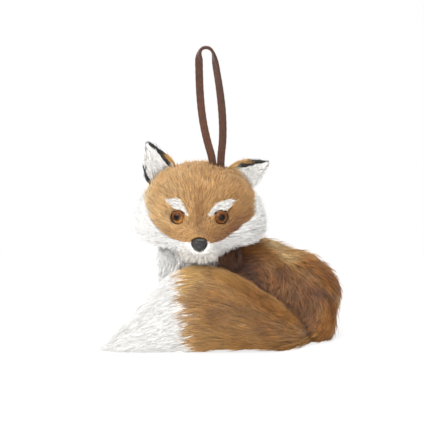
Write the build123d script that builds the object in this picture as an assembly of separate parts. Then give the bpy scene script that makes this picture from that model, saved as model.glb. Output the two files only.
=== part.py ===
from build123d import *
from functools import cache
import math
import os

# Curled fox ornament: fur fabric glued over foam cores, with a flat base and a faux suede loop.
# Millimetres. X to the viewer's right, Y away from the viewer, Z up from the surface it stands on.
# The origin is under the middle of the footprint.

# Overall
figure_width = 105.0      # tip of the tail to the rump
seam = 0.3                # room between two pieces of fur
glue_gap = 0.25           # room between a fur backing and its core
fit = 0.15                # room round a stem, wire or peg

# Body, lying along X
body_depth = 40.0         # front to back
body_height = 40.5        # surface to the top of the back
body_pile = 6.0           # fur and backing over the body core

# Tail, wrapped across the front
tail_depth = 28.0
tail_height = 34.5
tail_pile = 6.0
tail_nestle = 6.0         # how far the tail presses into the body
tail_root_inset = 9.5     # from the rump's end to the tail's end inside it
tip_colour_length = 40.0  # white fur, measured from the tip
tail_wire_diameter = 1.5

# Neck and chest
neck_x = -9.5             # middle of the chest
neck_inset = 3.0          # chest's front behind the body's front
neck_width = 36.0
neck_depth = 30.0
neck_pile = 4.5
neck_socket = 8.0         # how far the neck post goes into the head
chest_turn = 65.0         # degrees that the white front is turned from the left towards the viewer

# Head
head_x = -10.0
head_y = 2.0              # the head's widest part
head_rise = 12.0          # the head's widest level above the top of the back
head_width = 56.6         # over the cheek fur
head_top = 26.0           # crown above the widest level
head_bottom = 17.0        # jaw below the widest level
head_back = 20.0          # behind the widest part
head_front = 28.0         # in front of the widest part
head_pile = 4.0
cheek_back = 8.0          # how far the white cheeks reach behind the widest part
chin_width = 13.0
neck_peg_diameter = 3.0
neck_peg_length = 22.0

# Eyes
eye_diameter = 6.0
eye_spacing = 19.6
eye_rise = 4.0            # above the widest level of the head
eye_turn = 20.0           # degrees outwards
eye_proud = 1.0           # the dome's top past the fur
eye_dome_height = 2.4
eye_back_thickness = 1.8
eye_stem_diameter = 1.8
eye_stem_length = 6.0

# Nose
nose_width = 6.5
nose_height = 5.7
nose_depth = 4.0
nose_seat = 2.4           # how deep the nose sits in the muzzle
nose_drop = 5.8           # below the widest level of the head
nose_stem_diameter = 2.0
nose_stem_length = 8.0

# Brows
brow_length = 10.5
brow_width = 3.6
brow_rise = 8.6           # above the widest level of the head
brow_spacing = 18.4
brow_slope = 24.0         # degrees, falling towards the nose

# Ears
ear_height = 18.5
ear_width = 14.0
ear_cup = 3.4             # how deep the ear is cupped at its root
ear_felt = 1.2
lining_felt = 0.9
ear_rim = 1.4             # dark edge left round the lining
ear_root_offset = 14.8    # ear's root from the middle of the head
ear_root_rise = 15.5      # above the widest level of the head
ear_root_back = 2.0       # behind the widest part
left_ear_lean = -25.5     # degrees to the viewer's right
left_ear_tilt = 2.0       # degrees back
right_ear_lean = 65.0
right_ear_tilt = 26.0

# Base
felt_thickness = 1.0

# Hanging loop of flat lace, both ends in a plug in the crown
lace_width = 3.0
lace_thickness = 1.4
plug_offset = 7.5         # plug's middle from the middle of the head
plug_length = 9.0
plug_width = 4.5
plug_depth = 10.0

# How far the cores run on below the surface: the body's is cut level, the tail's lies above it
core_sink_share = 0.06
tail_core_sink_share = 0.04

# How high the crown is over the plug
plug_crown_share = 0.98

# Outline of a round section, right to top, as shares of its half width and its height
round_shares = [(1.0, 0.0), (0.924, 0.383), (0.707, 0.707), (0.383, 0.924), (0.0, 1.0)]
# The head is widest low down, at the cheeks
crown_shares = [(1.0, 0.0), (0.93, 0.24), (0.76, 0.55), (0.45, 0.87), (0.0, 1.0)]
jaw_shares = [(1.0, 0.0), (0.93, 0.38), (0.71, 0.73), (0.37, 0.95), (0.0, 1.0)]

# Stations from the neck to the rump: along the length, sideways, half depth, top and bottom height
body_shares = [
    (0.00, 0.00, 0.34, 0.35, 0.02),
    (0.08, 0.00, 0.60, 0.615, -0.06),
    (0.21, 0.00, 0.82, 0.84, -0.08),
    (0.35, 0.00, 0.94, 0.965, -0.08),
    (0.50, 0.00, 1.00, 1.00, -0.08),
    (0.65, -0.03, 1.00, 0.915, -0.08),
    (0.80, -0.10, 0.92, 0.85, -0.08),
    (0.90, -0.17, 0.77, 0.74, -0.08),
    (0.965, -0.20, 0.54, 0.61, -0.04),
    (0.99, -0.21, 0.32, 0.52, 0.10),
    (1.00, -0.21, 0.12, 0.45, 0.30),
]

# Stations from the tail's tip to its root, in the same order, with the pile's share
tail_shares = [
    (0.00, -0.31, 0.10, 0.07, -0.03, 0.0),
    (0.05, -0.27, 0.24, 0.15, -0.05, 0.15),
    (0.10, -0.22, 0.44, 0.30, -0.08, 0.5),
    (0.20, -0.12, 0.74, 0.60, -0.14, 0.85),
    (0.32, -0.02, 0.96, 0.90, -0.20, 1.0),
    (0.43, 0.00, 1.00, 1.00, -0.24, 1.0),
    (0.54, 0.00, 1.00, 0.97, -0.26, 1.0),
    (0.65, 0.01, 0.94, 0.83, -0.26, 1.0),
    (0.76, 0.02, 0.87, 0.63, -0.24, 0.9),
    (0.86, 0.07, 0.73, 0.44, -0.18, 0.65),
    (0.93, 0.19, 0.55, 0.33, -0.12, 0.45),
    (1.00, 0.40, 0.31, 0.24, -0.06, 0.3),
]

# Stations from the back of the head to the muzzle: along, half width, top, bottom, drop, pile's share
head_shares = [
    (0.00, 0.12, 0.14, 0.20, -0.24, 0.0),
    (0.02, 0.34, 0.38, 0.50, -0.21, 0.5),
    (0.08, 0.61, 0.65, 0.77, -0.15, 0.9),
    (0.21, 0.87, 0.89, 0.96, -0.06, 1.0),
    (0.42, 1.00, 1.00, 1.00, 0.00, 1.0),
    (0.58, 0.94, 0.94, 0.92, 0.02, 1.0),
    (0.70, 0.74, 0.72, 0.78, 0.08, 1.0),
    (0.79, 0.46, 0.44, 0.62, 0.20, 0.9),
    (0.88, 0.29, 0.26, 0.47, 0.31, 0.7),
    (0.97, 0.19, 0.165, 0.35, 0.355, 0.5),
    (1.00, 0.11, 0.10, 0.20, 0.36, 0.0),
]

# Stations up the neck: height, half width, half depth
neck_shares = [(0.0, 0.80, 0.84), (0.35, 0.84, 0.90), (0.62, 0.94, 0.98), (0.82, 1.0, 1.0), (1.0, 0.90, 0.92)]

# Front outline of the tan mask, from the middle of the head, as shares of its half width and its top
mask_shares = [
    (-1.30, 0.62), (-0.86, 0.40), (-0.65, 0.00), (-0.40, -0.21), (-0.15, -0.18), (0.12, -0.18),
    (0.30, -0.22), (0.56, -0.05), (0.77, 0.10), (0.84, 0.42), (1.30, 0.66), (1.30, 1.60), (-1.30, 1.60),
]

# Rounded inverted triangle of the nose, as shares of half its width and height
nose_shares = [
    (1.0, 0.35), (0.96, 0.68), (0.72, 0.88), (0.0, 1.0), (-0.72, 0.88), (-0.96, 0.68),
    (-1.0, 0.35), (-0.78, -0.42), (-0.36, -0.88), (0.0, -1.0), (0.36, -0.88), (0.78, -0.42),
]
nose_depth_shares = [(0.0, 0.86), (0.3, 1.0), (0.7, 0.86), (1.0, 0.45)]

# Stations up an ear: height, width, cup; and how much of a circle's width a strip may take
ear_shares = [(0.0, 0.92, 1.0), (0.3, 1.0, 0.95), (0.68, 0.64, 0.6), (1.0, 0.10, 0.12)]
arc_limit_share = 0.95

# Route of the lace, across and up, from the middle of the plug's top
lace_points = [
    (-1.7, 0.0), (-1.7, 4.6), (-4.2, 12.6), (-6.3, 22.6), (-7.4, 34.0), (-7.7, 44.6), (-7.8, 53.6),
    (-1.8, 53.8), (-0.3, 45.0), (1.4, 34.6), (2.5, 24.0), (2.7, 13.6), (1.7, 5.4), (1.7, 0.0),
]

figure_depth = body_depth + tail_depth - tail_nestle
head_z = body_height + head_rise
body_y = (figure_depth - body_depth) / 2
body_left = neck_x - neck_width * 0.3
body_length = figure_width / 2 - body_left
tail_y = (tail_depth - figure_depth) / 2
tail_length = figure_width - tail_root_inset
neck_y = body_y - body_depth / 2 + neck_inset + neck_depth / 2
neck_top = head_z - head_bottom + head_pile + neck_socket
head_length = head_back + head_front
wide_cut = 3 * figure_width
plug_top = head_z + head_top * plug_crown_share - head_pile
lace_room = plug_depth
wire_start = (figure_width / 2 - tail_root_inset - tail_length * 0.2, tail_y + tail_depth * 0.09, tail_height * 0.25)
wire_end = (figure_width / 2 - body_length * 0.17, body_y - body_depth * 0.27, body_height * 0.29)


def ring_face(points):
    """Flat face bounded by arcs, each through three neighbouring points."""
    arcs = []
    for i in range(0, len(points), 2):
        arcs.append(ThreePointArc(points[i], points[i + 1], points[(i + 2) % len(points)]))
    return make_face(arcs)


def oval(wide, up, down, upper=round_shares, lower=round_shares):
    """Section round the origin, symmetrical sideways, with its own height above and below."""
    above = [(wide * x, up * y) for x, y in upper]
    above += [(-x, y) for x, y in reversed(above[:-1])]
    below = [(wide * x, -down * y) for x, y in lower]
    below += [(-x, y) for x, y in reversed(below[:-1])]
    return ring_face(above + list(reversed(below))[1:-1])


@cache
def body_form(grow=0.0, inner=False):
    """The back and rump; inside, the core's surface, without its blunt end and open to the base."""
    stations = body_shares[:-2] if inner else body_shares
    pile = body_pile if inner else 0
    sections = []
    for along, side, half, top, bottom in stations:
        upper = body_height * top - pile + grow
        lower = body_height * min(bottom, -core_sink_share) if inner else body_height * bottom - grow
        tall = (upper - lower) / 2
        deep = body_depth * half / 2 - pile + grow
        end = (grow - pile) * (2 * along - 1)
        place = Pos(body_left + body_length * along + end, body_y + body_depth * side, (upper + lower) / 2)
        sections.append(place * (Plane.YZ * oval(deep, tall, tall)))
    return loft(sections)


@cache
def tail_form(grow=0.0, inner=False):
    """The tail from tip to root; inside, the core's surface, with a pile that thins to both ends."""
    stations = tail_shares[2:-1] if inner else tail_shares
    sections = []
    for along, side, half, top, bottom, pile in stations:
        more = grow - tail_pile * pile if inner else grow
        bottom = max(bottom, -tail_core_sink_share) if inner else bottom
        tall = tail_height * (top - bottom) / 2 + more
        end = grow * (2 * along - 1)
        place = Pos(tail_length * along - figure_width / 2 + end, tail_y + tail_depth * side,
                    tail_height * (top + bottom) / 2)
        sections.append(place * (Plane.YZ * oval(tail_depth * half / 2 + more, tall, tall)))
    return loft(sections)


@cache
def neck_form(grow=0.0):
    """The neck and chest, standing on the base and ending inside the head."""
    sections = []
    for rise, wide, deep in neck_shares:
        half_width = neck_width * wide / 2 + grow
        half_depth = neck_depth * deep / 2 + grow
        sections.append(Pos(neck_x, neck_y, neck_top * rise) * oval(half_width, half_depth, half_depth))
    return loft(sections)


@cache
def head_form(grow=0.0, inner=False):
    """The head from its back to the muzzle; inside, the core's surface, with a pile that thins forwards."""
    stations = head_shares[1:-1] if inner else head_shares
    sections = []
    for along, wide, top, bottom, drop, pile in stations:
        more = grow - head_pile * pile if inner else grow
        section = oval(head_width / 2 * wide + more, head_top * top + more, head_bottom * bottom + more,
                       crown_shares, jaw_shares)
        end = grow * (1 - 2 * along) - (head_pile * (1 - along) if inner else 0)
        place = Pos(head_x, head_y + head_back - head_length * along + end, head_z - head_bottom * drop)
        sections.append(place * (Plane.XZ * section))
    return loft(sections)


def slab(bottom, top):
    """Level block wider than the figure, between two heights."""
    return Pos(0, 0, (bottom + top) / 2) * Box(wide_cut, wide_cut, top - bottom)


def prism(outline):
    """Front outline from the middle of the head, run through the figure from front to back."""
    face = Plane.XZ * outline
    return Pos(head_x, wide_cut / 2, head_z) * extrude(face, wide_cut)


def behind(place):
    """Block that holds everything behind a plane across the figure."""
    return Pos(head_x, place + wide_cut / 2, head_z) * Box(wide_cut, wide_cut, wide_cut)


def rod(start, end, diameter):
    """Round rod between two points."""
    way = Vector(*end) - Vector(*start)
    return extrude(Plane(origin=start, z_dir=way) * Circle(diameter / 2), way.length)


def body_core():
    """Foam body with the post that carries the head."""
    core = body_form(inner=True) + neck_form(-neck_pile)
    core &= slab(felt_thickness, wide_cut)
    core -= neck_peg(fit)
    core -= tail_wire(fit)
    return core


def base_felt():
    """Felt that closes the underside."""
    felt = body_form(inner=True) + neck_form(-neck_pile)
    return felt & slab(0, felt_thickness)


def body_fur():
    """Brown fur from the shoulders to the rump, open below."""
    fur = body_form() & slab(0, wide_cut)
    fur -= body_form(glue_gap, inner=True)
    fur -= neck_form(glue_gap - neck_pile)
    fur -= tail_wire(fit)
    return fur


def neck_fur():
    """Sleeve of fur round the neck, between the body and the head."""
    fur = neck_form() & slab(0, wide_cut)
    fur -= body_form(seam)
    fur -= neck_form(glue_gap - neck_pile)
    fur -= head_form(seam)
    return fur


def chest_side():
    """Block that holds the front of the neck, towards the viewer."""
    block = Pos(-wide_cut / 2, 0, 0) * Box(wide_cut, wide_cut, wide_cut)
    return Pos(neck_x, neck_y, 0) * (Rot(0, 0, chest_turn) * block)


def chest_fur():
    """White front of the neck."""
    return neck_fur() & chest_side()


def nape_fur():
    """Brown back of the neck, without the scraps left where the head and body nearly meet."""
    sleeve = neck_fur() - chest_side()
    return max(sleeve.solids(), key=lambda piece: piece.volume)


def tail_outer():
    """The whole tail's fur, pressed against the body and chest."""
    fur = tail_form() & slab(0, wide_cut)
    fur -= body_form(seam)
    fur -= neck_form(seam)
    return fur


def tip_side():
    """Block that holds the white end of the tail."""
    edge = tip_colour_length - figure_width / 2
    return Pos(edge - wide_cut / 2, 0, 0) * Box(wide_cut, wide_cut, wide_cut)


def tail_fur():
    """Brown sleeve of the tail."""
    fur = tail_outer() - tip_side()
    fur -= tail_form(glue_gap, inner=True)
    return fur - tail_wire(fit)


def tail_tip_fur():
    """White end of the tail."""
    fur = tail_outer() & tip_side()
    return fur - tail_form(glue_gap, inner=True)


def tail_core():
    """Foam core of the tail."""
    core = tail_form(inner=True)
    core -= body_form(seam)
    core -= neck_form(seam)
    return core - tail_wire(fit)


def tail_wire(room=0.0):
    """Wire from the tail's core into the body's core."""
    return rod(wire_start, wire_end, tail_wire_diameter + 2 * room)


def head_core():
    """Foam head, with its sockets."""
    core = head_form(inner=True)
    core -= neck_form(glue_gap - neck_pile)
    core -= neck_peg(fit)
    core -= plug(fit, lace_room)
    core -= nose(fit)
    for side in (-1, 1):
        core -= eye_socket(side)
        core -= eye_back(side, fit)
        core -= ear_slit(side)
    return core


def neck_peg(room=0.0):
    """Wooden peg between the neck post and the head."""
    radius = neck_peg_diameter / 2 + room
    return Pos(neck_x, neck_y, neck_top) * Cylinder(radius, neck_peg_length + 2 * room)


def head_shell():
    """All the fur of the head, before it is parted by colour."""
    fur = head_form()
    fur -= head_form(glue_gap, inner=True)
    fur -= body_form(seam)
    fur -= neck_form(glue_gap - neck_pile)
    fur -= nose(fit)
    fur -= plug(fit, lace_room)
    for side in (-1, 1):
        fur -= eye_socket(side)
        fur -= ear_slit(side)
    return fur


def mask_block():
    """Everything tan: inside the mask's outline, and behind the cheeks."""
    points = [(head_width / 2 * x, head_top * y) for x, y in mask_shares]
    return prism(make_face(Polyline(*points, close=True))) + behind(head_y + cheek_back)


def brow_block(side):
    """Flat oval of one brow, run through the figure."""
    oval_face = Rot(0, 0, brow_slope * side) * Ellipse(brow_length / 2, brow_width / 2)
    place = Pos(side * brow_spacing / 2, brow_rise)
    return prism(place * oval_face) - behind(head_y)


def chin_block():
    """Upright strip of the muzzle and chin."""
    strip = Rectangle(chin_width, head_width)
    return prism(strip) - behind(head_y)


def nose_outline(scale, room):
    """Section of the nose at one depth."""
    wide = nose_width / 2 * scale + room
    tall = nose_height / 2 * scale + room
    return ring_face([(wide * x, tall * y) for x, y in nose_shares])


def nose(room=0.0):
    """Rounded triangular button with a stem into the muzzle."""
    back = head_y - head_front + nose_seat
    low = head_z - nose_drop
    sections = []
    for depth, scale in nose_depth_shares:
        step = room * ((depth == 1) - (depth == 0))
        place = Pos(head_x, back - nose_depth * depth - step, low)
        sections.append(place * (Plane.XZ * nose_outline(scale, room)))
    stem = rod((head_x, back, low), (head_x, back + nose_stem_length + room, low), nose_stem_diameter + 2 * room)
    return loft(sections) + stem


def face_surface(x, z):
    """Front of the head's fur at a place seen from the front."""
    line = Axis((x, -wide_cut, z), (0, 1, 0))
    return head_form().find_intersection_points(line)[0][0]


def eye_place(side):
    """Frame on the front of an eye, looking out along its own Z."""
    front = face_surface(head_x + side * eye_spacing / 2, head_z + eye_rise)
    turn = math.radians(eye_turn) * side
    out = Vector(math.sin(turn), -math.cos(turn), 0)
    return Plane(origin=front + out * eye_proud, z_dir=out)


def eye_dome(side):
    """Amber dome, a slice of a ball."""
    radius = eye_diameter / 2
    ball = (radius**2 + eye_dome_height**2) / (2 * eye_dome_height)
    dome = Pos(0, 0, -ball) * Sphere(ball)
    dome &= Pos(0, 0, -eye_dome_height / 2) * Box(2 * eye_diameter, 2 * eye_diameter, eye_dome_height)
    return eye_place(side) * dome


def eye_back(side, room=0.0):
    """Dark back of an eye with its stem."""
    disc_middle = -eye_dome_height - eye_back_thickness / 2
    disc = Pos(0, 0, disc_middle) * Cylinder(eye_diameter / 2 + room, eye_back_thickness + 2 * room)
    stem_middle = -eye_dome_height - eye_back_thickness - eye_stem_length / 2
    stem = Pos(0, 0, stem_middle) * Cylinder(eye_stem_diameter / 2 + room, eye_stem_length + 2 * room)
    return eye_place(side) * (disc + stem)


def eye_socket(side):
    """Round hole through the fur for an eye."""
    tall = eye_dome_height + eye_back_thickness + 2 * eye_proud
    hole = Pos(0, 0, eye_proud - tall / 2) * Cylinder(eye_diameter / 2 + fit, tall)
    return eye_place(side) * hole


def crescent(wide, cup, thick):
    """Cupped strip across an ear: two alike arcs, one set back from the other."""
    half = wide / 2
    front = ThreePointArc((-half, 0), (0, cup), (half, 0))
    back = ThreePointArc((-half, thick), (0, cup + thick), (half, thick))
    sides = [Line((half, 0), (half, thick)), Line((-half, 0), (-half, thick))]
    return make_face([front, back] + sides)


def ear_layer(inset, lift, thick, room=0.0):
    """One layer of an ear up its own Z: a strip of the ear's own curve, narrower by an inset, lifted back."""
    sections = []
    for height, wide, cup in ear_shares:
        full = ear_width * wide
        radius = (full**2 / 4 + (ear_cup * cup) ** 2) / (2 * ear_cup * cup)
        across = min(max(full - 2 * inset, full / 2) + 2 * room, 2 * radius * arc_limit_share)
        own_cup = radius - math.sqrt(radius**2 - across**2 / 4)
        back = lift + ear_cup * cup - own_cup - room
        end = room * ((height == 1) - (height == 0))
        sections.append(Pos(0, back, (ear_height - inset) * height + end) * crescent(across, own_cup, thick + 2 * room))
    return loft(sections)


def ear_place(side):
    """Frame at the root of an ear, up its middle."""
    lean, tilt = (left_ear_lean, left_ear_tilt) if side < 0 else (right_ear_lean, right_ear_tilt)
    root = Pos(head_x + side * ear_root_offset, head_y + ear_root_back, head_z + ear_root_rise)
    return root * (Rot(0, lean, 0) * Rot(-tilt, 0, 0))


def ear_back(side):
    """Dark edged outer layer, cupped towards the front."""
    return ear_place(side) * ear_layer(0, 0, ear_felt)


def ear_lining(side):
    """White inner layer, inside the rim of the outer one."""
    return ear_place(side) * ear_layer(ear_rim, -lining_felt - glue_gap, lining_felt)


def ear_slit(side):
    """Slit in the fur and the core for both layers of an ear."""
    return ear_place(side) * ear_layer(0, -lining_felt - glue_gap, ear_felt + lining_felt + glue_gap, glue_gap)


def plug(room=0.0, above=0.0):
    """Block in the crown that grips both ends of the lace."""
    shape = extrude(SlotOverall(plug_length + 2 * room, plug_width + 2 * room), plug_depth + room + above)
    return Pos(head_x + plug_offset, head_y, plug_top - plug_depth - room) * shape


def hanging_loop():
    """Flat lace from the plug, up and over, and back down to it."""
    points = [(head_x + plug_offset + x, head_y, plug_top + z) for x, z in lace_points]
    radii = []
    for before, corner, after in zip(points, points[1:], points[2:]):
        first = Vector(*corner) - Vector(*before)
        second = Vector(*after) - Vector(*corner)
        half_turn = math.radians(first.get_angle(second)) / 2
        radii.append(0.45 * min(first.length, second.length) / math.tan(half_turn))
    path = FilletPolyline(*points, radius=radii)
    lace = sweep(Pos(points[0]) * Rectangle(lace_width, lace_thickness), path)
    print("lace radii", [round(r, 1) for r in radii])
    print("lace length", round(path.length, 1), "section times length", round(path.length * lace_width * lace_thickness))
    return lace


def write(name, shape):
    """Write one node's file and print its size."""
    export_step(shape, os.path.join("parts", name + ".step"))
    print(name, len(shape.solids()), "solids", round(shape.volume))


def main():
    os.makedirs("parts", exist_ok=True)
    write("body_core", body_core())
    write("base_felt", base_felt())
    write("body_fur", body_fur())
    write("chest_fur", chest_fur())
    write("nape_fur", nape_fur())
    write("tail_core", tail_core())
    write("tail_wire", tail_wire())
    write("tail_fur", tail_fur())
    write("tail_tip_fur", tail_tip_fur())
    write("head_core", head_core())
    write("neck_peg", neck_peg())
    write("nose", nose())
    write("loop_plug", plug())
    write("hanging_loop", hanging_loop())
    shell = head_shell()
    mask = shell & mask_block()
    white = shell - mask_block()
    left, right = brow_block(-1), brow_block(1)
    write("mask_fur", mask - left - right)
    write("brow_fur_left", mask & left)
    write("brow_fur_right", mask & right)
    write("chin_fur", white & chin_block())
    cheeks = white - chin_block()
    half = Pos(head_x - wide_cut / 2, 0, 0) * Box(wide_cut, wide_cut, wide_cut)
    write("cheek_fur_left", cheeks & half)
    write("cheek_fur_right", cheeks - half)
    for side, word in ((-1, "left"), (1, "right")):
        write("ear_back_" + word, ear_back(side))
        write("ear_lining_" + word, ear_lining(side))
        write("eye_dome_" + word, eye_dome(side))
        write("eye_back_" + word, eye_back(side))


if __name__ == "__main__":
    main()
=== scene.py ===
import math

import bmesh
import bpy
import numpy as np
from mathutils import Matrix, Vector
from mathutils.bvhtree import BVHTree
from mathutils.kdtree import KDTree


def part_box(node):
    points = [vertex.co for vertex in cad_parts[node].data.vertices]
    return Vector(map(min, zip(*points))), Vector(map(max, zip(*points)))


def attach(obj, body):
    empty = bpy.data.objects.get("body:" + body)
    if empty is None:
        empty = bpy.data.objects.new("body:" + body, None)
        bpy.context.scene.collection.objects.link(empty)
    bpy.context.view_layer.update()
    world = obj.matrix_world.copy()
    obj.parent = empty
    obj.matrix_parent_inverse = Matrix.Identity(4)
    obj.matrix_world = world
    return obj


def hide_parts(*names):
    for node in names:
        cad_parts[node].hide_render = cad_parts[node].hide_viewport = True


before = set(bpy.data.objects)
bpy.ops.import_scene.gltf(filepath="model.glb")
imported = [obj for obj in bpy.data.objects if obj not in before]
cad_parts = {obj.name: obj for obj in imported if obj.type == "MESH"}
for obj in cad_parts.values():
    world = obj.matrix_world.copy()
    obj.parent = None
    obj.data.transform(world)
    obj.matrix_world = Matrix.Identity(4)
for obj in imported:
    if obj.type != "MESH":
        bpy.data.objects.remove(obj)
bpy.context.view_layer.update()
mm = 0.001  # everything is worked out in millimetres and written to Blender in metres
sides = {"left": -1, "right": 1}  # the viewer's left and right
dice = np.random.default_rng(11)
print("frame loaded", len(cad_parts), "nodes")

# Small helpers


def linearColour(hexText):
    # sRGB hex to the linear colour that Blender's sockets take
    parts = [int(hexText[i:i + 2], 16) / 255 for i in (1, 3, 5)]
    return tuple(c / 12.92 if c <= 0.04045 else ((c + 0.055) / 1.055) ** 2.4 for c in parts) + (1.0,)


def fillRamp(ramp, stops):
    # stops are (place, hex colour)
    while len(ramp.elements) < len(stops):
        ramp.elements.new(0.5)
    for element, (place, colour) in zip(ramp.elements, stops):
        element.position = place
        element.color = linearColour(colour)


def addNode(tree, kind, settings=None, links=None):
    # settings are sockets by name or number, or properties of the node; links are socket: (node, output)
    node = tree.nodes.new(kind)
    for key, value in (settings or {}).items():
        if key == "stops":
            fillRamp(node.color_ramp, value)
        elif isinstance(key, str) and hasattr(node, key):
            setattr(node, key, value)
        else:
            node.inputs[key].default_value = value
    for key, (source, output) in (links or {}).items():
        tree.links.new(source.outputs[output], node.inputs[key])
    return node


def newMaterial(name):
    # an empty material and its tree
    material = bpy.data.materials.new(name)
    material.use_nodes = True
    material.node_tree.nodes.clear()
    return material, material.node_tree


def closeMaterial(tree, settings, links):
    # the shader at the end of a material's nodes
    surface = addNode(tree, "ShaderNodeBsdfPrincipled", settings, links)
    addNode(tree, "ShaderNodeOutputMaterial", links={"Surface": (surface, "BSDF")})


def noiseScale(size):
    # the scale at which a pattern's grains are this many mm across
    return 1 / (size * mm)


def smoothStep(low, high, value):
    t = np.clip((value - low) / (high - low), 0, 1)
    return t * t * (3 - 2 * t)


def band(points, **ranges):
    # soft steps along the axes that are named, each from its first place to its second, multiplied
    share = np.ones(len(points))
    for axis, (low, high) in ranges.items():
        share = share * smoothStep(low, high, points[:, "xyz".index(axis)])
    return share


def unit(vectors):
    return vectors / np.maximum(np.linalg.norm(vectors, axis=-1, keepdims=True), 1e-9)


def distance(points, place):
    return np.linalg.norm(points - place, axis=1)


def nodeArrays(*names):
    # vertices in mm and triangles of some CAD nodes, and for each triangle which node it is of
    points, triangles, owner, offset = [], [], [], 0
    for number, name in enumerate(names):
        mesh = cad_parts[name].data
        mesh.calc_loop_triangles()
        co = np.empty(len(mesh.vertices) * 3)
        mesh.vertices.foreach_get("co", co)
        tri = np.empty(len(mesh.loop_triangles) * 3, dtype=np.int64)
        mesh.loop_triangles.foreach_get("vertices", tri)
        points.append(co.reshape(-1, 3) / mm)
        triangles.append(tri.reshape(-1, 3) + offset)
        owner.append(np.full(len(mesh.loop_triangles), number))
        offset += len(mesh.vertices)
    return np.concatenate(points), np.concatenate(triangles), np.concatenate(owner)


def meshFromArrays(name, points, faces):
    mesh = bpy.data.meshes.new(name)
    mesh.from_pydata([tuple(p) for p in points * mm], [], [tuple(int(i) for i in f) for f in faces])
    mesh.update()
    return mesh


def onlyUsed(quads):
    # the numbers of the points that some faces use, and the faces counted anew among them
    used, faces = np.unique(quads, return_inverse=True)
    return used, faces.reshape(-1, 4)


def faceOutwards(mesh):
    work = bmesh.new()
    work.from_mesh(mesh)
    bmesh.ops.recalc_face_normals(work, faces=work.faces)
    work.to_mesh(mesh)
    work.free()
    mesh.shade_smooth()
    return mesh


def putValues(mesh, values):
    # one number a point for each name, which the materials read
    for name, numbers in values.items():
        layer = mesh.attributes.new(name, "FLOAT", "POINT")
        layer.data.foreach_set("value", numbers.astype(np.float32))


def putPiece(name, mesh, material, replaced=()):
    # one finished piece: its object, its material, its body and the nodes that it stands for
    piece = bpy.data.objects.new(name, mesh)
    bpy.context.scene.collection.objects.link(piece)
    mesh.materials.clear()
    mesh.materials.append(material)
    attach(piece, "root")
    if replaced:
        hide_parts(*replaced)
    return piece


# Camera

cameraPlan = {
    "elevation": 12.0,        # degrees above the horizon
    "distance": 750.0,
    "lens": 145.2,
    "sensor": 36.0,
    "clip": (50.0, 20000.0),
    "aim": (-4.6, 0.0, 55.4),
}


def makeCamera(plan):
    lens = bpy.data.cameras.new("camera")
    lens.lens = plan["lens"]
    lens.sensor_width = plan["sensor"]
    lens.sensor_fit = "HORIZONTAL"
    lens.clip_start, lens.clip_end = (place * mm for place in plan["clip"])
    camera = bpy.data.objects.new("camera", lens)
    bpy.context.scene.collection.objects.link(camera)
    rise = math.radians(plan["elevation"])
    away = Vector((0, -math.cos(rise), math.sin(rise)))
    camera.location = (Vector(plan["aim"]) + away * plan["distance"]) * mm
    camera.rotation_euler = (-away).to_track_quat("-Z", "Y").to_euler()
    bpy.context.scene.camera = camera


makeCamera(cameraPlan)
print("camera set")

# Hanging loop

lacePlan = {
    "foot": (-2.5, 2.0, 73.98),   # middle of the plug's top, where both ends stand
    "route": [(-1.7, 0.0), (-1.7, 4.6), (-4.2, 12.6), (-6.3, 22.6), (-7.4, 34.0), (-7.7, 44.6), (-7.8, 53.6),
              (-1.8, 53.8), (-0.3, 45.0), (1.4, 34.6), (2.5, 24.0), (2.7, 13.6), (1.7, 5.4), (1.7, 0.0)],
    "width": 3.35,
    "thickness": 1.3,
    "section": [(-1, -0.55), (-0.93, -0.9), (-0.7, -1), (0.7, -1), (0.93, -0.9), (1, -0.55),
                (1, 0.55), (0.93, 0.9), (0.7, 1), (-0.7, 1), (-0.93, 0.9), (-1, 0.55)],   # in half widths
    "fray": 0.02,             # how unevenly wide it is
    "length": 112.0,
    "gauge": 3.0,             # its nominal width
    "fold": (45.4, 53.4),     # heights above the foot over which it comes to lie flat over its fold
    "rightTurn": 44,          # degrees that the right strand is turned about itself,
    "turned": (16, 46),       # between these heights
}
suedePlan = {
    "tuft": 0.526,            # mm, coarser than the real nap so that it shows
    "rub": 2.38,              # mm, patches where the nap is rubbed
    "pit": 0.2,               # mm, between the tufts
    "tones": [(0.35, "#2e1a11"), (0.68, "#462717"), (0.95, "#583522")],
    "upper": {1: 0.092, 2: 0.126, 3: 1.06, 4: 0.8},     # painted shade: darker upwards, by height in metres,
    "right": {1: -0.004, 2: 0.0, 3: 1.0, 4: 0.8},       # and painted darker on the right strand, which turns away from the light
}


def laceCentreline(plan):
    # the route's points are the control points of one NURBS spline
    data = bpy.data.curves.new("laceLine", "CURVE")
    data.dimensions = "3D"
    spline = data.splines.new("NURBS")
    spline.points.add(len(plan["route"]) - 1)
    foot = plan["foot"]
    for point, (across, up) in zip(spline.points, plan["route"]):
        point.co = ((foot[0] + across) * mm, foot[1] * mm, (foot[2] + up) * mm, 1)
    spline.order_u = 3
    spline.use_endpoint_u = True
    spline.resolution_u = 12
    line = bpy.data.objects.new("laceLine", data)
    bpy.context.scene.collection.objects.link(line)
    bpy.context.view_layer.update()
    mesh = bpy.data.meshes.new_from_object(line)
    points = np.array([v.co[:] for v in mesh.vertices])
    bpy.data.objects.remove(line)
    bpy.data.meshes.remove(mesh)
    return points


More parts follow.
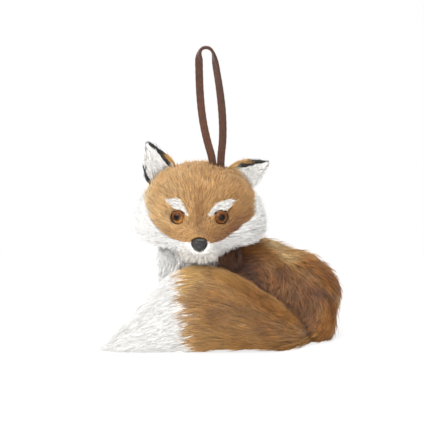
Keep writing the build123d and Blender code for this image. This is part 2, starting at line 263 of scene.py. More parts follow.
def suedeMaterial(plan):
    # imitation suede lace: polyester microfibre on a woven strip, napped, so it is matt with a faint sheen
    material, tree = newMaterial("suedeLace")
    place = addNode(tree, "ShaderNodeTexCoord")
    apart = addNode(tree, "ShaderNodeSeparateXYZ", links={0: (place, "Object")})
    nap = addNode(tree, "ShaderNodeTexNoise",
                  {"Scale": noiseScale(plan["tuft"]), "Detail": 4.0, "Roughness": 0.7},
                  {"Vector": (place, "Object")})
    rub = addNode(tree, "ShaderNodeTexNoise", {"Scale": noiseScale(plan["rub"]), "Detail": 2.0},
                  {"Vector": (place, "Object")})
    rubbed = addNode(tree, "ShaderNodeMapRange", {3: -0.12, 4: 0.3}, {0: (rub, "Fac")})
    both = addNode(tree, "ShaderNodeMath", {"operation": "MULTIPLY_ADD", 1: 1.1},
                   {0: (nap, "Fac"), 2: (rubbed, 0)})
    tone = addNode(tree, "ShaderNodeValToRGB", {"stops": plan["tones"]}, {"Fac": (both, 0)})
    # painted shade: the nap is darkened upwards and on the right strand
    upper = addNode(tree, "ShaderNodeMapRange", plan["upper"], {0: (apart, "Z")})
    right = addNode(tree, "ShaderNodeMapRange", plan["right"], {0: (apart, "X")})
    value = addNode(tree, "ShaderNodeMath", {"operation": "MULTIPLY"}, {0: (upper, 0), 1: (right, 0)})
    # the rubbed nap's tone, darkened by the painted shade
    rubbedAndShaded = addNode(tree, "ShaderNodeHueSaturation", links={"Value": (value, 0), "Color": (tone, "Color")})
    bump = addNode(tree, "ShaderNodeBump", {"Strength": 0.7, "Distance": plan["pit"] * mm},
                   {"Height": (nap, "Fac")})
    closeMaterial(tree, {"Roughness": 0.92, "IOR": 1.46, "Sheen Weight": 0.2, "Sheen Roughness": 0.5},
                  {"Base Color": (rubbedAndShaded, "Color"), "Normal": (bump, "Normal")})
    return material


def makeLace(plan):
    line = laceCentreline(plan)
    last = len(line) - 1
    highest = line[:, 2].argmax()
    depthWay = Vector((0, 1, 0))
    points = []
    for i, point in enumerate(line):
        rightStrand = i > highest
        along = Vector(line[min(i + 1, last)] - line[max(i - 1, 0)]).normalized()
        up = point[2] / mm - plan["foot"][2]
        half = plan["rightTurn"] * float(smoothStep(*plan["turned"], up)) if rightStrand else 0
        turn = math.radians(half + (90 - half) * float(smoothStep(*plan["fold"], up)))
        side = along.cross(depthWay).normalized() * (-1 if rightStrand else 1)
        wide = side * math.cos(turn) + depthWay * math.sin(turn)
        thin = wide.cross(along).normalized()
        wide = wide * plan["width"] / 2 * (1 + plan["fray"] * math.sin(i * 1.7))
        thin = thin * plan["thickness"] / 2
        points += [Vector(point) / mm + wide * across + thin * out for across, out in plan["section"]]
    size = len(plan["section"])
    faces = [tuple(range(size)), tuple(last * size + i for i in reversed(range(size)))]
    for i in range(last):
        for j in range(size):
            k = (j + 1) % size
            faces.append((i * size + j, (i + 1) * size + j, (i + 1) * size + k, i * size + k))
    mesh = faceOutwards(meshFromArrays("hangingLace", np.array([p[:] for p in points]), faces))
    lace = putPiece("hangingLace", mesh, suedeMaterial(suedePlan), ["hanging_loop"])


makeLace(lacePlan)
print("lace made")

# Places that the lie of the hair follows

headMiddle = np.array([-10.0, 2.0, 52.5])
nosePoint = np.array([-10.0, -23.5, 46.7])
eyeMiddles = {word: np.array(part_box("eye_dome_" + word)).mean(0) / mm for word in sides}
eyePlan = {
    "radius": 3.05,
    "height": 2.4,            # of the dome over its seat
    "rows": 13, "first": 0.4, "segments": 48,    # rows of faces from near the dome's middle to its edge
    "foot": (0.97, 0.1),      # its back edge, as a share of the radius, and how far behind the seat
    "turn": 20.0,             # degrees that each eye looks outwards
    "glow": {"left": 1.15, "right": 0.45},       # painted light: how far the amber is painted as lit,
    "glowFrom": (0.35, 0.75),                    # from the front and from below
    "seat": [(0.05, 0.0), (0.1, 0.3), (0.22, 0.4), (0.4, 0.25), (0.7, -0.2), (0.9, -0.8), (0.9, -2.6),
             (0.05, -2.6)],   # outline of the ring, out from the dome's edge and up from its foot
    "clear": 0.15,            # how far the hair may lie over the dome
}
browPlan = {                  # mm from the middle of the face and above its widest level
    "left": {"inner": 5.4, "outer": 12.9, "rise": [5.8, 8.0, 9.3, 9.9, 10.2, 10.2]},
    "right": {"inner": 4.6, "outer": 14.4, "rise": [5.9, 7.4, 8.3, 8.9, 9.6, 10.3]},
    "halfWidth": [1.3, 2.2, 2.4, 2.1, 1.5, 0.6],
}
earPlan = {
    "offset": 14.8, "rise": 15.5, "back": 2.0,   # of the root, from the middle of the head
    "height": 18.5,
    "levels": [0, 0.3, 0.68, 1.0],
    "halfWidths": [6.4, 7.0, 4.5, 0.8],          # at these levels
    "lean": {"left": -25.5, "right": 65.0},
    "tilt": {"left": 2.0, "right": 26.0},
    "over": 6.0,              # where the hair draws together, above the tip
}
tailPlan = {
    "start": -52.5, "length": 95.5, "middle": -17.0, "depth": 28.0, "height": 34.5,
    "sway": 0.10,
    "whiteEdge": -8.0, "ragged": 2.8,
}
bodyPlan = {
    "start": -20.3, "length": 72.8, "middle": 11.0, "depth": 40.0, "height": 40.5,
    "whorl": 27.0, "fan": 0.055,                 # where the hair parts on the rump, and how fast it fans out
    "toRoot": np.array([-1.5, -0.5, 0.1]),       # how it is drawn towards the tail's root
    "sway": 0.22,
    "endIn": 2.8, "narrow": 0.14, "keep": 6.0,   # the rump's low end is drawn in, narrower about this depth,
    "rootIn": 5.0,                               # and forward to the tail's root
}
neckPlan = {"from": np.array([-9.5, 9.0, 60.0]), "spread": 0.4, "down": np.array([0.05, 0.0, -1.0])}
headPlan = {
    "backDown": 0.9, "ruffUp": 0.3,              # how the hair sinks at the back and rises at the left ruff
    "jawDown": np.array([-0.1, -0.25, -1.0]),    # how it hangs at the jaw
    "part": 0.9, "partDepth": 0.3,               # how it parts round the eyes
    "jawLift": 3.0, "sideLift": 2.4,             # the jaw stands clear of the throat, more at the sides,
    "crownDown": 1.2,                            # and the crown lies lower
}

# Along the length, how far the middle is moved back, half the depth, top and bottom, as shares of each size
tailShares = [
    (0.00, -0.31, 0.10, 0.07, -0.03), (0.05, -0.27, 0.24, 0.15, -0.05), (0.10, -0.22, 0.44, 0.30, -0.08),
    (0.20, -0.12, 0.74, 0.60, -0.14), (0.32, -0.02, 0.96, 0.90, -0.20), (0.43, 0.00, 1.00, 1.00, -0.24),
    (0.54, 0.00, 1.00, 0.97, -0.26), (0.65, 0.01, 0.94, 0.83, -0.26), (0.76, 0.02, 0.87, 0.63, -0.24),
    (0.86, 0.07, 0.73, 0.44, -0.18), (0.93, 0.19, 0.55, 0.33, -0.12), (1.00, 0.40, 0.31, 0.24, -0.06)]
bodyShares = [
    (0.00, 0.00, 0.34, 0.35, 0.02), (0.08, 0.00, 0.60, 0.615, -0.06), (0.21, 0.00, 0.82, 0.84, -0.08),
    (0.35, 0.00, 0.94, 0.965, -0.08), (0.50, 0.00, 1.00, 1.00, -0.08), (0.65, -0.03, 1.00, 0.915, -0.08),
    (0.80, -0.10, 0.92, 0.85, -0.08), (0.90, -0.17, 0.77, 0.74, -0.08), (0.965, -0.20, 0.54, 0.61, -0.04),
    (0.99, -0.21, 0.32, 0.52, 0.10), (1.00, -0.21, 0.12, 0.45, 0.30)]


def stationsOf(plan, shares):
    # X, middle Y, half the depth, middle Z and half the height of each station
    stations = []
    for along, back, half, top, bottom in shares:
        stations.append((plan["start"] + plan["length"] * along, plan["middle"] + plan["depth"] * back,
                         plan["depth"] / 2 * half, plan["height"] * (top + bottom) / 2,
                         plan["height"] * (top - bottom) / 2))
    return np.array(stations)


tailStations = stationsOf(tailPlan, tailShares)
bodyStations = stationsOf(bodyPlan, bodyShares)


def ruling(points, stations, step):
    # the way a form's long lines run at each point, from station to station
    x = points[:, 0]
    far = x + step

    def at(place, column):
        return np.interp(place, stations[:, 0], stations[:, column])
    u = np.clip((points[:, 1] - at(x, 1)) / np.maximum(at(x, 2), 1), -1.1, 1.1)
    v = np.clip((points[:, 2] - at(x, 3)) / np.maximum(at(x, 4), 1), -1.1, 1.1)
    return unit(np.stack([np.full(len(x), float(step)),
                          at(far, 1) - at(x, 1) + u * (at(far, 2) - at(x, 2)),
                          at(far, 3) - at(x, 3) + v * (at(far, 4) - at(x, 4))], axis=1))


def tailFlow(points):
    # brushed from the root, at the viewer's right, to the tip
    flow = ruling(points, tailStations, -2.0)
    flow[:, 2] += tailPlan["sway"] * np.sin(points[:, 0] * 0.16 + points[:, 2] * 0.12)
    return flow


def bodyFlow(points):
    # along the back from the neck, then out of a whorl on the rump and down all round it
    x, y, z = points.T
    back = ruling(points, bodyStations, 2.0)
    down = np.maximum(band(points, x=(8, 26), z=(38, 29)), band(points, x=(40, 50)))[:, None]
    root = band(points, x=(30, 40), z=(24, 8), y=(14, 4))[:, None]
    fan = np.stack([(x - bodyPlan["whorl"]) * bodyPlan["fan"], 0 * x, 0 * x - 1], axis=1)
    fan = unit(fan) + root * bodyPlan["toRoot"]
    way = unit(back * (1 - down) + unit(fan) * down)
    sway = bodyPlan["sway"] * np.sin(x * 0.55 + z * 0.31) * np.cos(y * 0.4 + z * 0.5)
    way[:, 0] += sway
    way[:, 1] += sway * 0.5
    return unit(way)


def neckFlow(points):
    # hangs down the chest, and back over the shoulders behind
    return unit(unit(points - neckPlan["from"]) * neckPlan["spread"] + neckPlan["down"])


def browShape(points):
    # how far each place is inside the arch of a brow, in mm, and the arch's slope there, outwards
    x, y, z = (points - headMiddle).T
    inside, slope = np.full(len(points), -9.0), np.zeros(len(points))
    ahead = 0.08
    for word, side in sides.items():
        brow = browPlan[word]
        span = brow["outer"] - brow["inner"]
        along = (x * side - brow["inner"]) / span
        places = np.linspace(0, 1, len(brow["rise"]))
        line = np.interp(along, places, brow["rise"])
        half = np.interp(along, places, browPlan["halfWidth"])
        past = np.maximum(np.maximum(-along, along - 1), 0) * 10
        mine = (x * side > 0) & (y < 0)
        inside = np.where(mine, half - np.abs(z - line) - past, inside)
        further = np.interp(along + ahead, places, brow["rise"])
        slope = np.where(mine, (further - line) / (ahead * span), slope)
    return inside, slope


def earFrame(word):
    # root, way across and way up of one ear
    root = headMiddle + np.array([sides[word] * earPlan["offset"], earPlan["back"], earPlan["rise"]])
    turn = (Matrix.Rotation(math.radians(earPlan["lean"][word]), 3, "Y")
            @ Matrix.Rotation(-math.radians(earPlan["tilt"][word]), 3, "X"))
    return root, np.array(turn @ Vector((1, 0, 0))), np.array(turn @ Vector((0, 0, 1)))


def earPlaces(points, word):
    # across from the outer edge, -1, to the edge beside the crown, 1; and up from the root, 0, to the tip, 1
    root, across, up = earFrame(word)
    high = np.clip((points - root) @ up / earPlan["height"], -0.2, 1.05)
    half = np.interp(high, earPlan["levels"], earPlan["halfWidths"])
    return np.clip((points - root) @ across / half, -1.3, 1.3) * -sides[word], high


def earFlow(word):
    root, _, up = earFrame(word)
    beyond = root + up * (earPlan["height"] + earPlan["over"])

    def flow(points):
        return unit(unit(beyond - points) + up * 0.6)
    return flow


def headFlow(points):
    # radiates from the nose over the face, hangs down at the jaw, and runs up the ears, out along the brows
    # and round the eyes
    flow = unit(points - nosePoint)
    flow[:, 2] -= headPlan["backDown"] * band(points, y=(0, 20))
    flow[:, 2] += headPlan["ruffUp"] * band(points, x=(-26, -36), z=(44, 52))
    jaw = (band(points, z=(46, 41)) * smoothStep(6, 14, distance(points, nosePoint)))[:, None]
    flow = flow * (1 - jaw) + headPlan["jawDown"] * jaw
    for word in sides:
        root, _, up = earFrame(word)
        near = smoothStep(10, 5, distance(points, root))[:, None]
        flow = flow * (1 - near) + up * near
    inside, slope = browShape(points)
    arch = smoothStep(-0.8, 0.2, inside)[:, None]
    outwards = np.stack([np.sign(points[:, 0] - headMiddle[0]), np.zeros(len(points)), slope], 1)
    flow = flow * (1 - arch) + unit(outwards) * arch
    for middle in eyeMiddles.values():
        away = points - middle
        away[:, 1] *= headPlan["partDepth"]
        near = np.linalg.norm(away, axis=1, keepdims=True)
        out = away / np.maximum(near, 1e-6)
        pull = np.clip((eyePlan["radius"] / np.maximum(near, eyePlan["radius"])) ** 2, 0, 1)
        flow = flow - pull * (2 * (flow * out).sum(1, keepdims=True) * out - flow) * headPlan["part"]
    return unit(flow)


# Forms that the fur grows on


def largestPart(count, edges):
    # for each point, whether it belongs to the largest connected part
    parent = np.arange(count)
    while True:
        low = np.minimum(parent[edges[:, 0]], parent[edges[:, 1]])
        before = parent.copy()
        np.minimum.at(parent, edges[:, 0], low)
        np.minimum.at(parent, edges[:, 1], low)
        parent = parent[parent]
        if (before == parent).all():
            return parent == np.bincount(parent).argmax()


def makeForm(name, nodes, voxel, rounds, bend=None):
    # one closed skin over several CAD nodes, without their seams; bend shifts its points a little
    points, triangles, owner = nodeArrays(*nodes)
    form = bpy.data.objects.new(name, meshFromArrays(name, points, triangles))
    bpy.context.scene.collection.objects.link(form)
    remesh = form.modifiers.new("remesh", "REMESH")
    remesh.mode = "VOXEL"
    remesh.voxel_size = voxel * mm
    smooth = form.modifiers.new("smooth", "SMOOTH")
    smooth.factor, smooth.iterations = 0.5, rounds
    bpy.context.view_layer.update()
    done = bpy.data.meshes.new_from_object(form.evaluated_get(bpy.context.evaluated_depsgraph_get()))
    bpy.data.objects.remove(form)
    co = np.empty(len(done.vertices) * 3)
    done.vertices.foreach_get("co", co)
    normals = np.empty(len(done.vertices) * 3)
    done.vertices.foreach_get("normal", normals)
    edges = np.empty(len(done.edges) * 2, dtype=np.int64)
    done.edges.foreach_get("vertices", edges)
    co = co.reshape(-1, 3) / mm
    if bend:
        co = bend(co)
    main = largestPart(len(co), edges.reshape(-1, 2))      # islands that the gaps left inside are dropped
    quads = [tuple(p.vertices) for p in done.polygons if main[p.vertices[0]]]
    bpy.data.meshes.remove(done)
    print("form", name, len(quads), "faces")
    return {"points": co, "normals": normals.reshape(-1, 3), "quads": np.array(quads),
            "tree": BVHTree.FromPolygons([tuple(p) for p in co], quads), "nodes": nodes, "owner": owner,
            "nodeTree": BVHTree.FromPolygons([tuple(p) for p in points], [tuple(t) for t in triangles])}


def roundRump(points):
    # the pile lies closer round the lower end of the rump, and is drawn towards the tail's root
    moved = points.copy()
    low = band(points, x=(38, 52), z=(26, 6))
    moved[:, 0] -= bodyPlan["endIn"] * low
    moved[:, 1] += (bodyPlan["keep"] - points[:, 1]) * bodyPlan["narrow"] * low
    moved[:, 1] -= bodyPlan["rootIn"] * band(points, x=(28, 38), z=(20, 6), y=(14, 0))
    return moved


def shapeHead(points):
    # the jaw's hair stands clear of the throat, most at the sides, and the crown's lies closer
    moved = points.copy()
    side = smoothStep(6, 18, np.abs(points[:, 0] - headMiddle[0]))
    moved[:, 2] -= headPlan["crownDown"] * band(points, z=(68, 78))
    lift = headPlan["jawLift"] + headPlan["sideLift"] * side
    moved[:, 2] += lift * smoothStep(44 + 4 * side, 36, points[:, 2])
    return moved


headNodes = ["mask_fur", "cheek_fur_left", "cheek_fur_right", "chin_fur", "brow_fur_left", "brow_fur_right",
             "head_core", "eye_back_left", "eye_back_right", "loop_plug"]
bodyNodes = ["body_fur", "nape_fur", "chest_fur", "body_core", "base_felt"]
tailNodes = ["tail_fur", "tail_tip_fur", "tail_core"]
furSkin, earSkin = (0.7, 4), (0.3, 6)      # size of the skin's faces in mm, and rounds of smoothing
forms = {"head": makeForm("headForm", headNodes, *furSkin, shapeHead),
         "tail": makeForm("tailForm", tailNodes, *furSkin),
         "body": makeForm("bodyForm", bodyNodes, *furSkin, roundRump)}
for word in sides:
    forms[word + "Ear"] = makeForm(word + "EarForm", ["ear_back_" + word, "ear_lining_" + word], *earSkin)
for form in forms.values():
    corners = form["points"][form["quads"]]
    cross = np.cross(corners[:, 2] - corners[:, 0], corners[:, 3] - corners[:, 1])
    form["centres"] = corners.mean(1)
    form["areas"] = np.linalg.norm(cross, axis=1) / 2
    form["faceNormals"] = unit(cross)
    nearest = [form["nodeTree"].find_nearest(tuple(centre))[2] for centre in form["centres"]]
    form["labels"] = form["owner"][nearest]      # which CAD node each face lies over
print("forms labelled")

# Fur

# Pile of each coat, in mm: how deep its backing lies under the form, how long and wide the hairs are, how
# many stand on a square millimetre, how far the tips stand off and the loose ones stray, how strongly they
# gather into locks of what size, their wave, in how many lengths each is drawn, how closely they follow the
# form, how far they hang under it or puff out from it, and what share of them is dark guard hair. The hairs
# are drawn a few times thicker and sparser than real fibres, so that they show
usualPile = {"lift": 0.5, "stray": 1.6, "lock": 0.4, "lockSize": 2.4, "wave": 0.15, "rings": 3, "cling": 0.9,
             "droop": 0.0, "puff": 0.0, "guard": 0.0}
pilePlan = {
    "body": {"depth": 2.2, "length": 10.5, "width": 0.30, "perArea": 4.4, "lift": 0.8, "stray": 2.6,
             "lock": 0.5, "wave": 0.5, "rings": 4},
    "nape": {"depth": 1.8, "length": 8.0, "width": 0.28, "perArea": 2.6, "lift": 0.6, "wave": 0.3,
             "rings": 4},
    "chest": {"depth": 0.7, "length": 8.0, "width": 0.28, "perArea": 11.0, "lift": 1.6, "lock": 0.2,
              "wave": 0.3, "rings": 4, "cling": 0.7, "puff": 3.0},
    "tail": {"depth": 2.0, "length": 12.0, "width": 0.28, "perArea": 4.2, "wave": 0.45, "rings": 4},
    "tailTip": {"depth": 1.8, "length": 10.0, "width": 0.24, "perArea": 6.0, "lift": 0.4, "lock": 0.18,
                "lockSize": 2.2, "wave": 0.2, "rings": 4},
    "mask": {"depth": 0.9, "length": 4.6, "width": 0.17, "perArea": 7.5, "lift": 0.35, "lock": 0.3,
             "lockSize": 1.4, "guard": 0.08},
    "cheek": {"depth": 1.5, "length": 6.8, "width": 0.23, "perArea": 5.5, "lift": 1.1, "lockSize": 2.0,
              "wave": 0.25, "cling": 0.55, "droop": 1.8},
    "chin": {"depth": 0.9, "length": 3.6, "width": 0.2, "perArea": 6.0, "lift": 0.6, "lock": 0.3,
             "lockSize": 1.4, "cling": 0.6, "droop": 4.2},
    "brow": {"depth": 0.9, "length": 4.4, "width": 0.2, "perArea": 9.0, "lift": 1.0, "lockSize": 1.5},
    "ear": {"depth": 0.25, "length": 3.6, "width": 0.19, "perArea": 9.0, "lock": 0.35, "lockSize": 1.3,
            "wave": 0.12, "cling": 0.8},
    "earLining": {"depth": 0.25, "length": 4.6, "width": 0.2, "perArea": 9.0, "lift": 0.7, "lockSize": 1.5,
                  "cling": 0.8},
}
# How much one hair differs from the next: lowest and highest shares, or the spread about a middle
hairPlan = {
    "lengths": (0.72, 1.18), "lifts": (0.2, 1.3), "hangs": (0.3, 1.0), "waves": (0.5, 1.3),
    "widths": (0.77, 1.375), "thinnest": 0.6,    # of the hair beside the nose
    "lockLift": 0.22, "strays": 0.07, "shade": (0.5, 0.2), "lockShade": 0.12,
    "jawHangs": 0.9, "rumpHangs": 0.6,           # how freely the hair hangs there
    "guardShare": 0.15,       # how much of a guard hair's colour is left
    "cut": 0.15,              # what stays of a hair's length where it is cut at an eye or a brow
    "floor": 0.12,            # lowest height of a hair
}


thinPlan = {"nose": 0.38, "brows": 0.45, "jaw": 0.55, "earRoots": 0.45, "tailEnd": 0.3}


def thinning(points, plan):
    # hair gets shorter and lies closer towards the nose, and the backing rises towards the tail's thin end
    share = np.ones(len(points))
    if plan["form"] == "head":
        near = distance(points, nosePoint)
        share = thinPlan["nose"] + (1 - thinPlan["nose"]) * smoothStep(3, 20, near)
        share *= 1 - thinPlan["brows"] * smoothStep(-0.6, 0.2, browShape(points)[0])
        share *= 1 + thinPlan["jaw"] * band(points, z=(45, 40)) * smoothStep(8, 15, near)
        for word in sides:
            share *= 1 + thinPlan["earRoots"] * smoothStep(10, 6, distance(points, earFrame(word)[0]))
    if plan["form"] == "tail":
        share = thinPlan["tailEnd"] + (1 - thinPlan["tailEnd"]) * band(points, x=(-52, -38))
    return share


def facesOf(form, node):
    return np.flatnonzero(form["labels"] == form["nodes"].index(node))


pressPlan = {"floor": 0.35, "gap": 0.45, "reach": 6.0}     # mm from the floor, to another form, looked over


def buried(points, normals, formName):
    # true where a place is pressed against another form, or under the part
    others = [form["tree"] for name, form in forms.items() if name != formName]
    hidden = (points[:, 2] < pressPlan["floor"]) & (normals[:, 2] < -0.5)
    for i in np.flatnonzero(~hidden):
        point = Vector(points[i])
        for tree in others:
            near, way, _, gap = tree.find_nearest(point, pressPlan["reach"])
            if near is not None and ((point - near).dot(way) < 0 or gap < pressPlan["gap"]):
                hidden[i] = True
    return hidden


def sowRoots(plan):
    form = forms[plan["form"]]
    mine = facesOf(form, plan["node"])
    mine = mine[~buried(form["centres"][mine], form["faceNormals"][mine], plan["form"])]
    share = form["areas"][mine]
    count = int(share.sum() * plan["perArea"])
    chosen = form["quads"][dice.choice(mine, size=count, p=share / share.sum())]
    u, v = dice.random((2, count, 1))

    def spread(corners):
        return (corners[:, 0] * (1 - u) * (1 - v) + corners[:, 1] * u * (1 - v)
                + corners[:, 2] * u * v + corners[:, 3] * (1 - u) * v)
    return spread(form["points"][chosen]), unit(spread(form["normals"][chosen]))


def followSurface(tree, flow, places, normals, lengths, steps):
    # walks each hair over the form, along the way the coat is brushed
    path, ups = [places], [normals]
    here, up = places.copy(), normals.copy()
    for _ in range(steps):
        way = flow(here)
        way = unit(way - up * (way * up).sum(1, keepdims=True))
        here = here + way * (lengths / steps)[:, None]
        for i in range(len(here)):
            near, bent, _, _ = tree.find_nearest(tuple(here[i]))
            here[i] = near[:]
            up[i] = bent[:]
        up = unit(up * 0.5 + ups[-1] * 0.5)
        path.append(here.copy())
        ups.append(up.copy())
    return np.stack(path, 1), np.stack(ups, 1)


def gatherLocks(places, path, size, strength):
    # draws the ends of neighbouring hairs towards one hair among them
    count = len(places)
    guides = dice.choice(count, size=max(1, int(count / max(4, 9 * size))), replace=False)
    tree = KDTree(len(guides))
    for number, guide in enumerate(guides):
        tree.insert(places[guide], number)
    tree.balance()
    nearest = np.array([guides[tree.find(place)[1]] for place in places])
    t = np.linspace(0, 1, path.shape[1])[None, :, None]
    pull = strength * t ** 1.4 * dice.uniform(0.5, 1.0, (count, 1, 1))
    return path + (path[nearest] + (places - places[nearest])[:, None] * 0.35 - path) * pull, nearest


def cutHairs(path, ring, hit):
    # what lies beyond one ring of the hairs that are hit is drawn back to just past the ring before
    before = path[hit, ring - 1]
    path[hit, ring:] = before[:, None] + (path[hit, ring] - before)[:, None] * hairPlan["cut"]


def clearEyes(path):
    # hairs that would lie over an eye are cut at its edge
    keep = np.ones(len(path), dtype=bool)
    for word, side in sides.items():
        turn = math.radians(eyePlan["turn"]) * side
        out = np.array([math.sin(turn), -math.cos(turn), 0])
        away = path - eyeMiddles[word]
        depth = (away * out).sum(2)
        off = np.linalg.norm(away - depth[..., None] * out, axis=2)
        over = (off < eyePlan["radius"] - eyePlan["clear"]) & (depth > -eyePlan["radius"])
        keep &= ~over[:, 0]
        for ring in range(1, path.shape[1]):
            cutHairs(path, ring, over[:, ring] & keep)
    return path, keep


def trimAtBrows(path):
    # hairs from outside a brow stop at its edge
    inside = browShape(path.reshape(-1, 3))[0].reshape(path.shape[:2]) > 0.1
    for ring in range(1, path.shape[1]):
        cutHairs(path, ring, inside[:, ring] & ~inside[:, 0])
    return path


def growCoat(plan):
    # the hairs of one coat: their rings, the way up at each, their radii, and their shade and colour
    form = forms[plan["form"]]
    places, normals = sowRoots(plan)
    count = len(places)
    share = thinning(places, plan)
    t = np.linspace(0, 1, plan["rings"] + 1)
    lengths = plan["length"] * share * dice.uniform(*hairPlan["lengths"], count)
    path, ups = followSurface(form["tree"], plan["flow"], places, normals, lengths, plan["rings"])
    free = unit(path[:, 1] - path[:, 0])[:, None] * lengths[:, None, None] * t[None, :, None]
    cling = np.full((count, 1, 1), plan["cling"])
    if plan["form"] == "head":   # the jaw's hair hangs over the throat
        cling *= 1 - hairPlan["jawHangs"] * band(places, z=(46, 40))[:, None, None]
    if plan["form"] == "body":   # the rump's hair hangs over the tail's root
        cling *= 1 - hairPlan["rumpHangs"] * band(places, x=(26, 36), z=(20, 8))[:, None, None]
    path = path * cling + (places[:, None] + free) * (1 - cling)
    path, lock = gatherLocks(places, path, plan["lockSize"], plan["lock"])
    depth = plan["depth"] * share
    stray = (dice.random(count) < hairPlan["strays"]) * dice.uniform(0.4, plan["stray"], count)
    lockLift = dice.normal(0, hairPlan["lockLift"], count)[lock]
    lift = (plan["lift"] * dice.uniform(*hairPlan["lifts"], count) + lockLift + stray * 0.8) * share
    lift += plan["droop"] * smoothStep(0.0, -0.7, normals[:, 2]) * dice.uniform(*hairPlan["hangs"], count)
    lift += plan["puff"] * band(places, z=(22, 32), y=(10, 2)) * dice.uniform(*hairPlan["hangs"], count)
    height = -depth[:, None] + (depth + lift)[:, None] * (1 - (1 - t) ** 1.8)
    side = unit(np.cross(np.gradient(path, axis=1), ups))
    phase = dice.uniform(0, 6.3, count)[lock] + dice.normal(0, 0.5, count)
    wave = plan["wave"] * (share * dice.uniform(*hairPlan["waves"], count))[:, None] * t
    wave = wave * np.sin(phase[:, None] + t * 5.0)
    path = path + ups * height[..., None] + side * wave[..., None]
    path[..., 2] = np.maximum(path[..., 2], hairPlan["floor"] + 0.25 * dice.random((count, 1)))
    keep = np.ones(count, dtype=bool)
    if plan["form"] == "head":
        path, keep = clearEyes(trimAtBrows(path))
    widths = plan["width"] * dice.uniform(*hairPlan["widths"], count)
    radii = widths / 2 * (hairPlan["thinnest"] + (1 - hairPlan["thinnest"]) * share)
    shade = dice.normal(*hairPlan["shade"], count) + dice.normal(0, hairPlan["lockShade"], count)[lock]
    coat = plan["coatOf"](places)
    guard = (dice.random(count) < plan["guard"]) & (coat < 0.8)
    coat = np.where(guard, coat * hairPlan["guardShare"], coat)
    return path[keep], ups[keep], radii[keep], {"shade": np.clip(shade, 0, 1)[keep], "coat": coat[keep]}


def hairMesh(name, path, ups, radii, values):
    # one tapered three-sided hair for each path, all in one mesh, with its own cell in the bake's map
    count, rings = path.shape[0], path.shape[1]
    along = unit(np.gradient(path, axis=1))
    side = unit(np.cross(along, ups))
    over = np.cross(side, along)
    t = np.linspace(0, 1, rings)
    taper = (1 - t ** 2.2 * 0.75) * (0.75 + 0.25 * np.minimum(1, t * 4))     # thickest a quarter up
    points = []
    for ring in range(rings - 1):
        r = (radii * taper[ring])[:, None]
        for turn, flat in ((90, 0.75), (210, 1.0), (330, 1.0)):
            a = math.radians(turn)
            points.append(path[:, ring] + side[:, ring] * r * math.cos(a) * flat
                          + over[:, ring] * r * math.sin(a) * 0.7)
    points.append(path[:, -1])
    each = len(points)
    points = np.stack(points, 1).reshape(-1, 3)
    last = 3 * (rings - 2)
    pattern = []
    for ring in range(rings - 2):
        for k in range(3):
            a, b = 3 * ring + k, 3 * ring + (k + 1) % 3
            pattern.append((a, a + 3, b + 3, b))
    pattern += [(last + k, each - 1, last + (k + 1) % 3) for k in range(3)] + [(0, 1, 2)]
    loops = np.array([i for face in pattern for i in face])
    sizes = np.array([len(face) for face in pattern])
    allLoops = (loops[None] + np.arange(count)[:, None] * each).reshape(-1)
    starts = np.concatenate([[0], np.cumsum(np.tile(sizes, count))[:-1]])
    mesh = bpy.data.meshes.new(name)
    mesh.vertices.add(len(points))
    mesh.vertices.foreach_set("co", (points * mm).astype(np.float32).reshape(-1))
    mesh.loops.add(len(allLoops))
    mesh.loops.foreach_set("vertex_index", allLoops.astype(np.int32))
    mesh.polygons.add(len(starts))
    mesh.polygons.foreach_set("loop_start", starts.astype(np.int32))
    mesh.update(calc_edges=True)
    ringOf = np.array([r for r in range(rings - 1) for _ in range(3)] + [rings - 1]) / (rings - 1)
    putValues(mesh, {"along": np.tile(ringOf, count), "shade": np.repeat(values["shade"], each),
                     "coat": np.repeat(values["coat"], each)})
    columns = max(1, int(math.sqrt(count * 6)))
    rows = math.ceil(count / columns)
    order = np.lexsort((path[:, 0, 2], np.floor(path[:, 0, 0] / 2)))
    cell = np.empty(count, dtype=np.int64)
    cell[order] = np.arange(count)
    across = np.array([0.2, 0.5, 0.8] * (rings - 1) + [0.5])
    u = (cell[:, None] % columns + across[None]) / columns
    v = (cell[:, None] // columns + 0.1 + 0.8 * ringOf[None]) / rows
    layer = mesh.uv_layers.new(name="OFBake")
    uv = np.stack([u.reshape(-1)[allLoops], v.reshape(-1)[allLoops]], 1)
    layer.data.foreach_set("uv", uv.astype(np.float32).reshape(-1))
    mesh.shade_smooth()
    return mesh


# the backing is coloured as a hair a quarter of the way up, so it is darkened by the painted root shade
backingPlan = {"sink": 0.85, "thickness": 0.5, "floor": 0.15, "along": 0.25, "shade": 0.4}


def backing(name, plan):
    # the woven backing under one coat: the form's own surface, sunk in and given a thickness
    form = forms[plan["form"]]
    used, faces = onlyUsed(form["quads"][facesOf(form, plan["node"])])
    points, normals = form["points"][used], form["normals"][used]
    thin = thinning(points, plan)[:, None]
    outer = points - normals * plan["depth"] * thin * backingPlan["sink"]
    inner = outer - normals * backingPlan["thickness"] * thin
    both = np.concatenate([outer, inner])
    both[:, 2] = np.maximum(both[:, 2], backingPlan["floor"])
    count = len(points)
    faces = [tuple(int(i) for i in face) for face in faces]
    edges = {(face[k], face[(k + 1) % 4]): 1 for face in faces for k in range(4)}
    whole = faces + [tuple(i + count for i in reversed(face)) for face in faces]
    whole += [(b, a, a + count, b + count) for a, b in edges if (b, a) not in edges]
    mesh = meshFromArrays(name, both, whole)
    putValues(mesh, {"along": np.full(2 * count, backingPlan["along"]),
                     "shade": np.full(2 * count, backingPlan["shade"]),
                     "coat": np.tile(plan["coatOf"](points), 2)})
    mesh.shade_smooth()
    return mesh
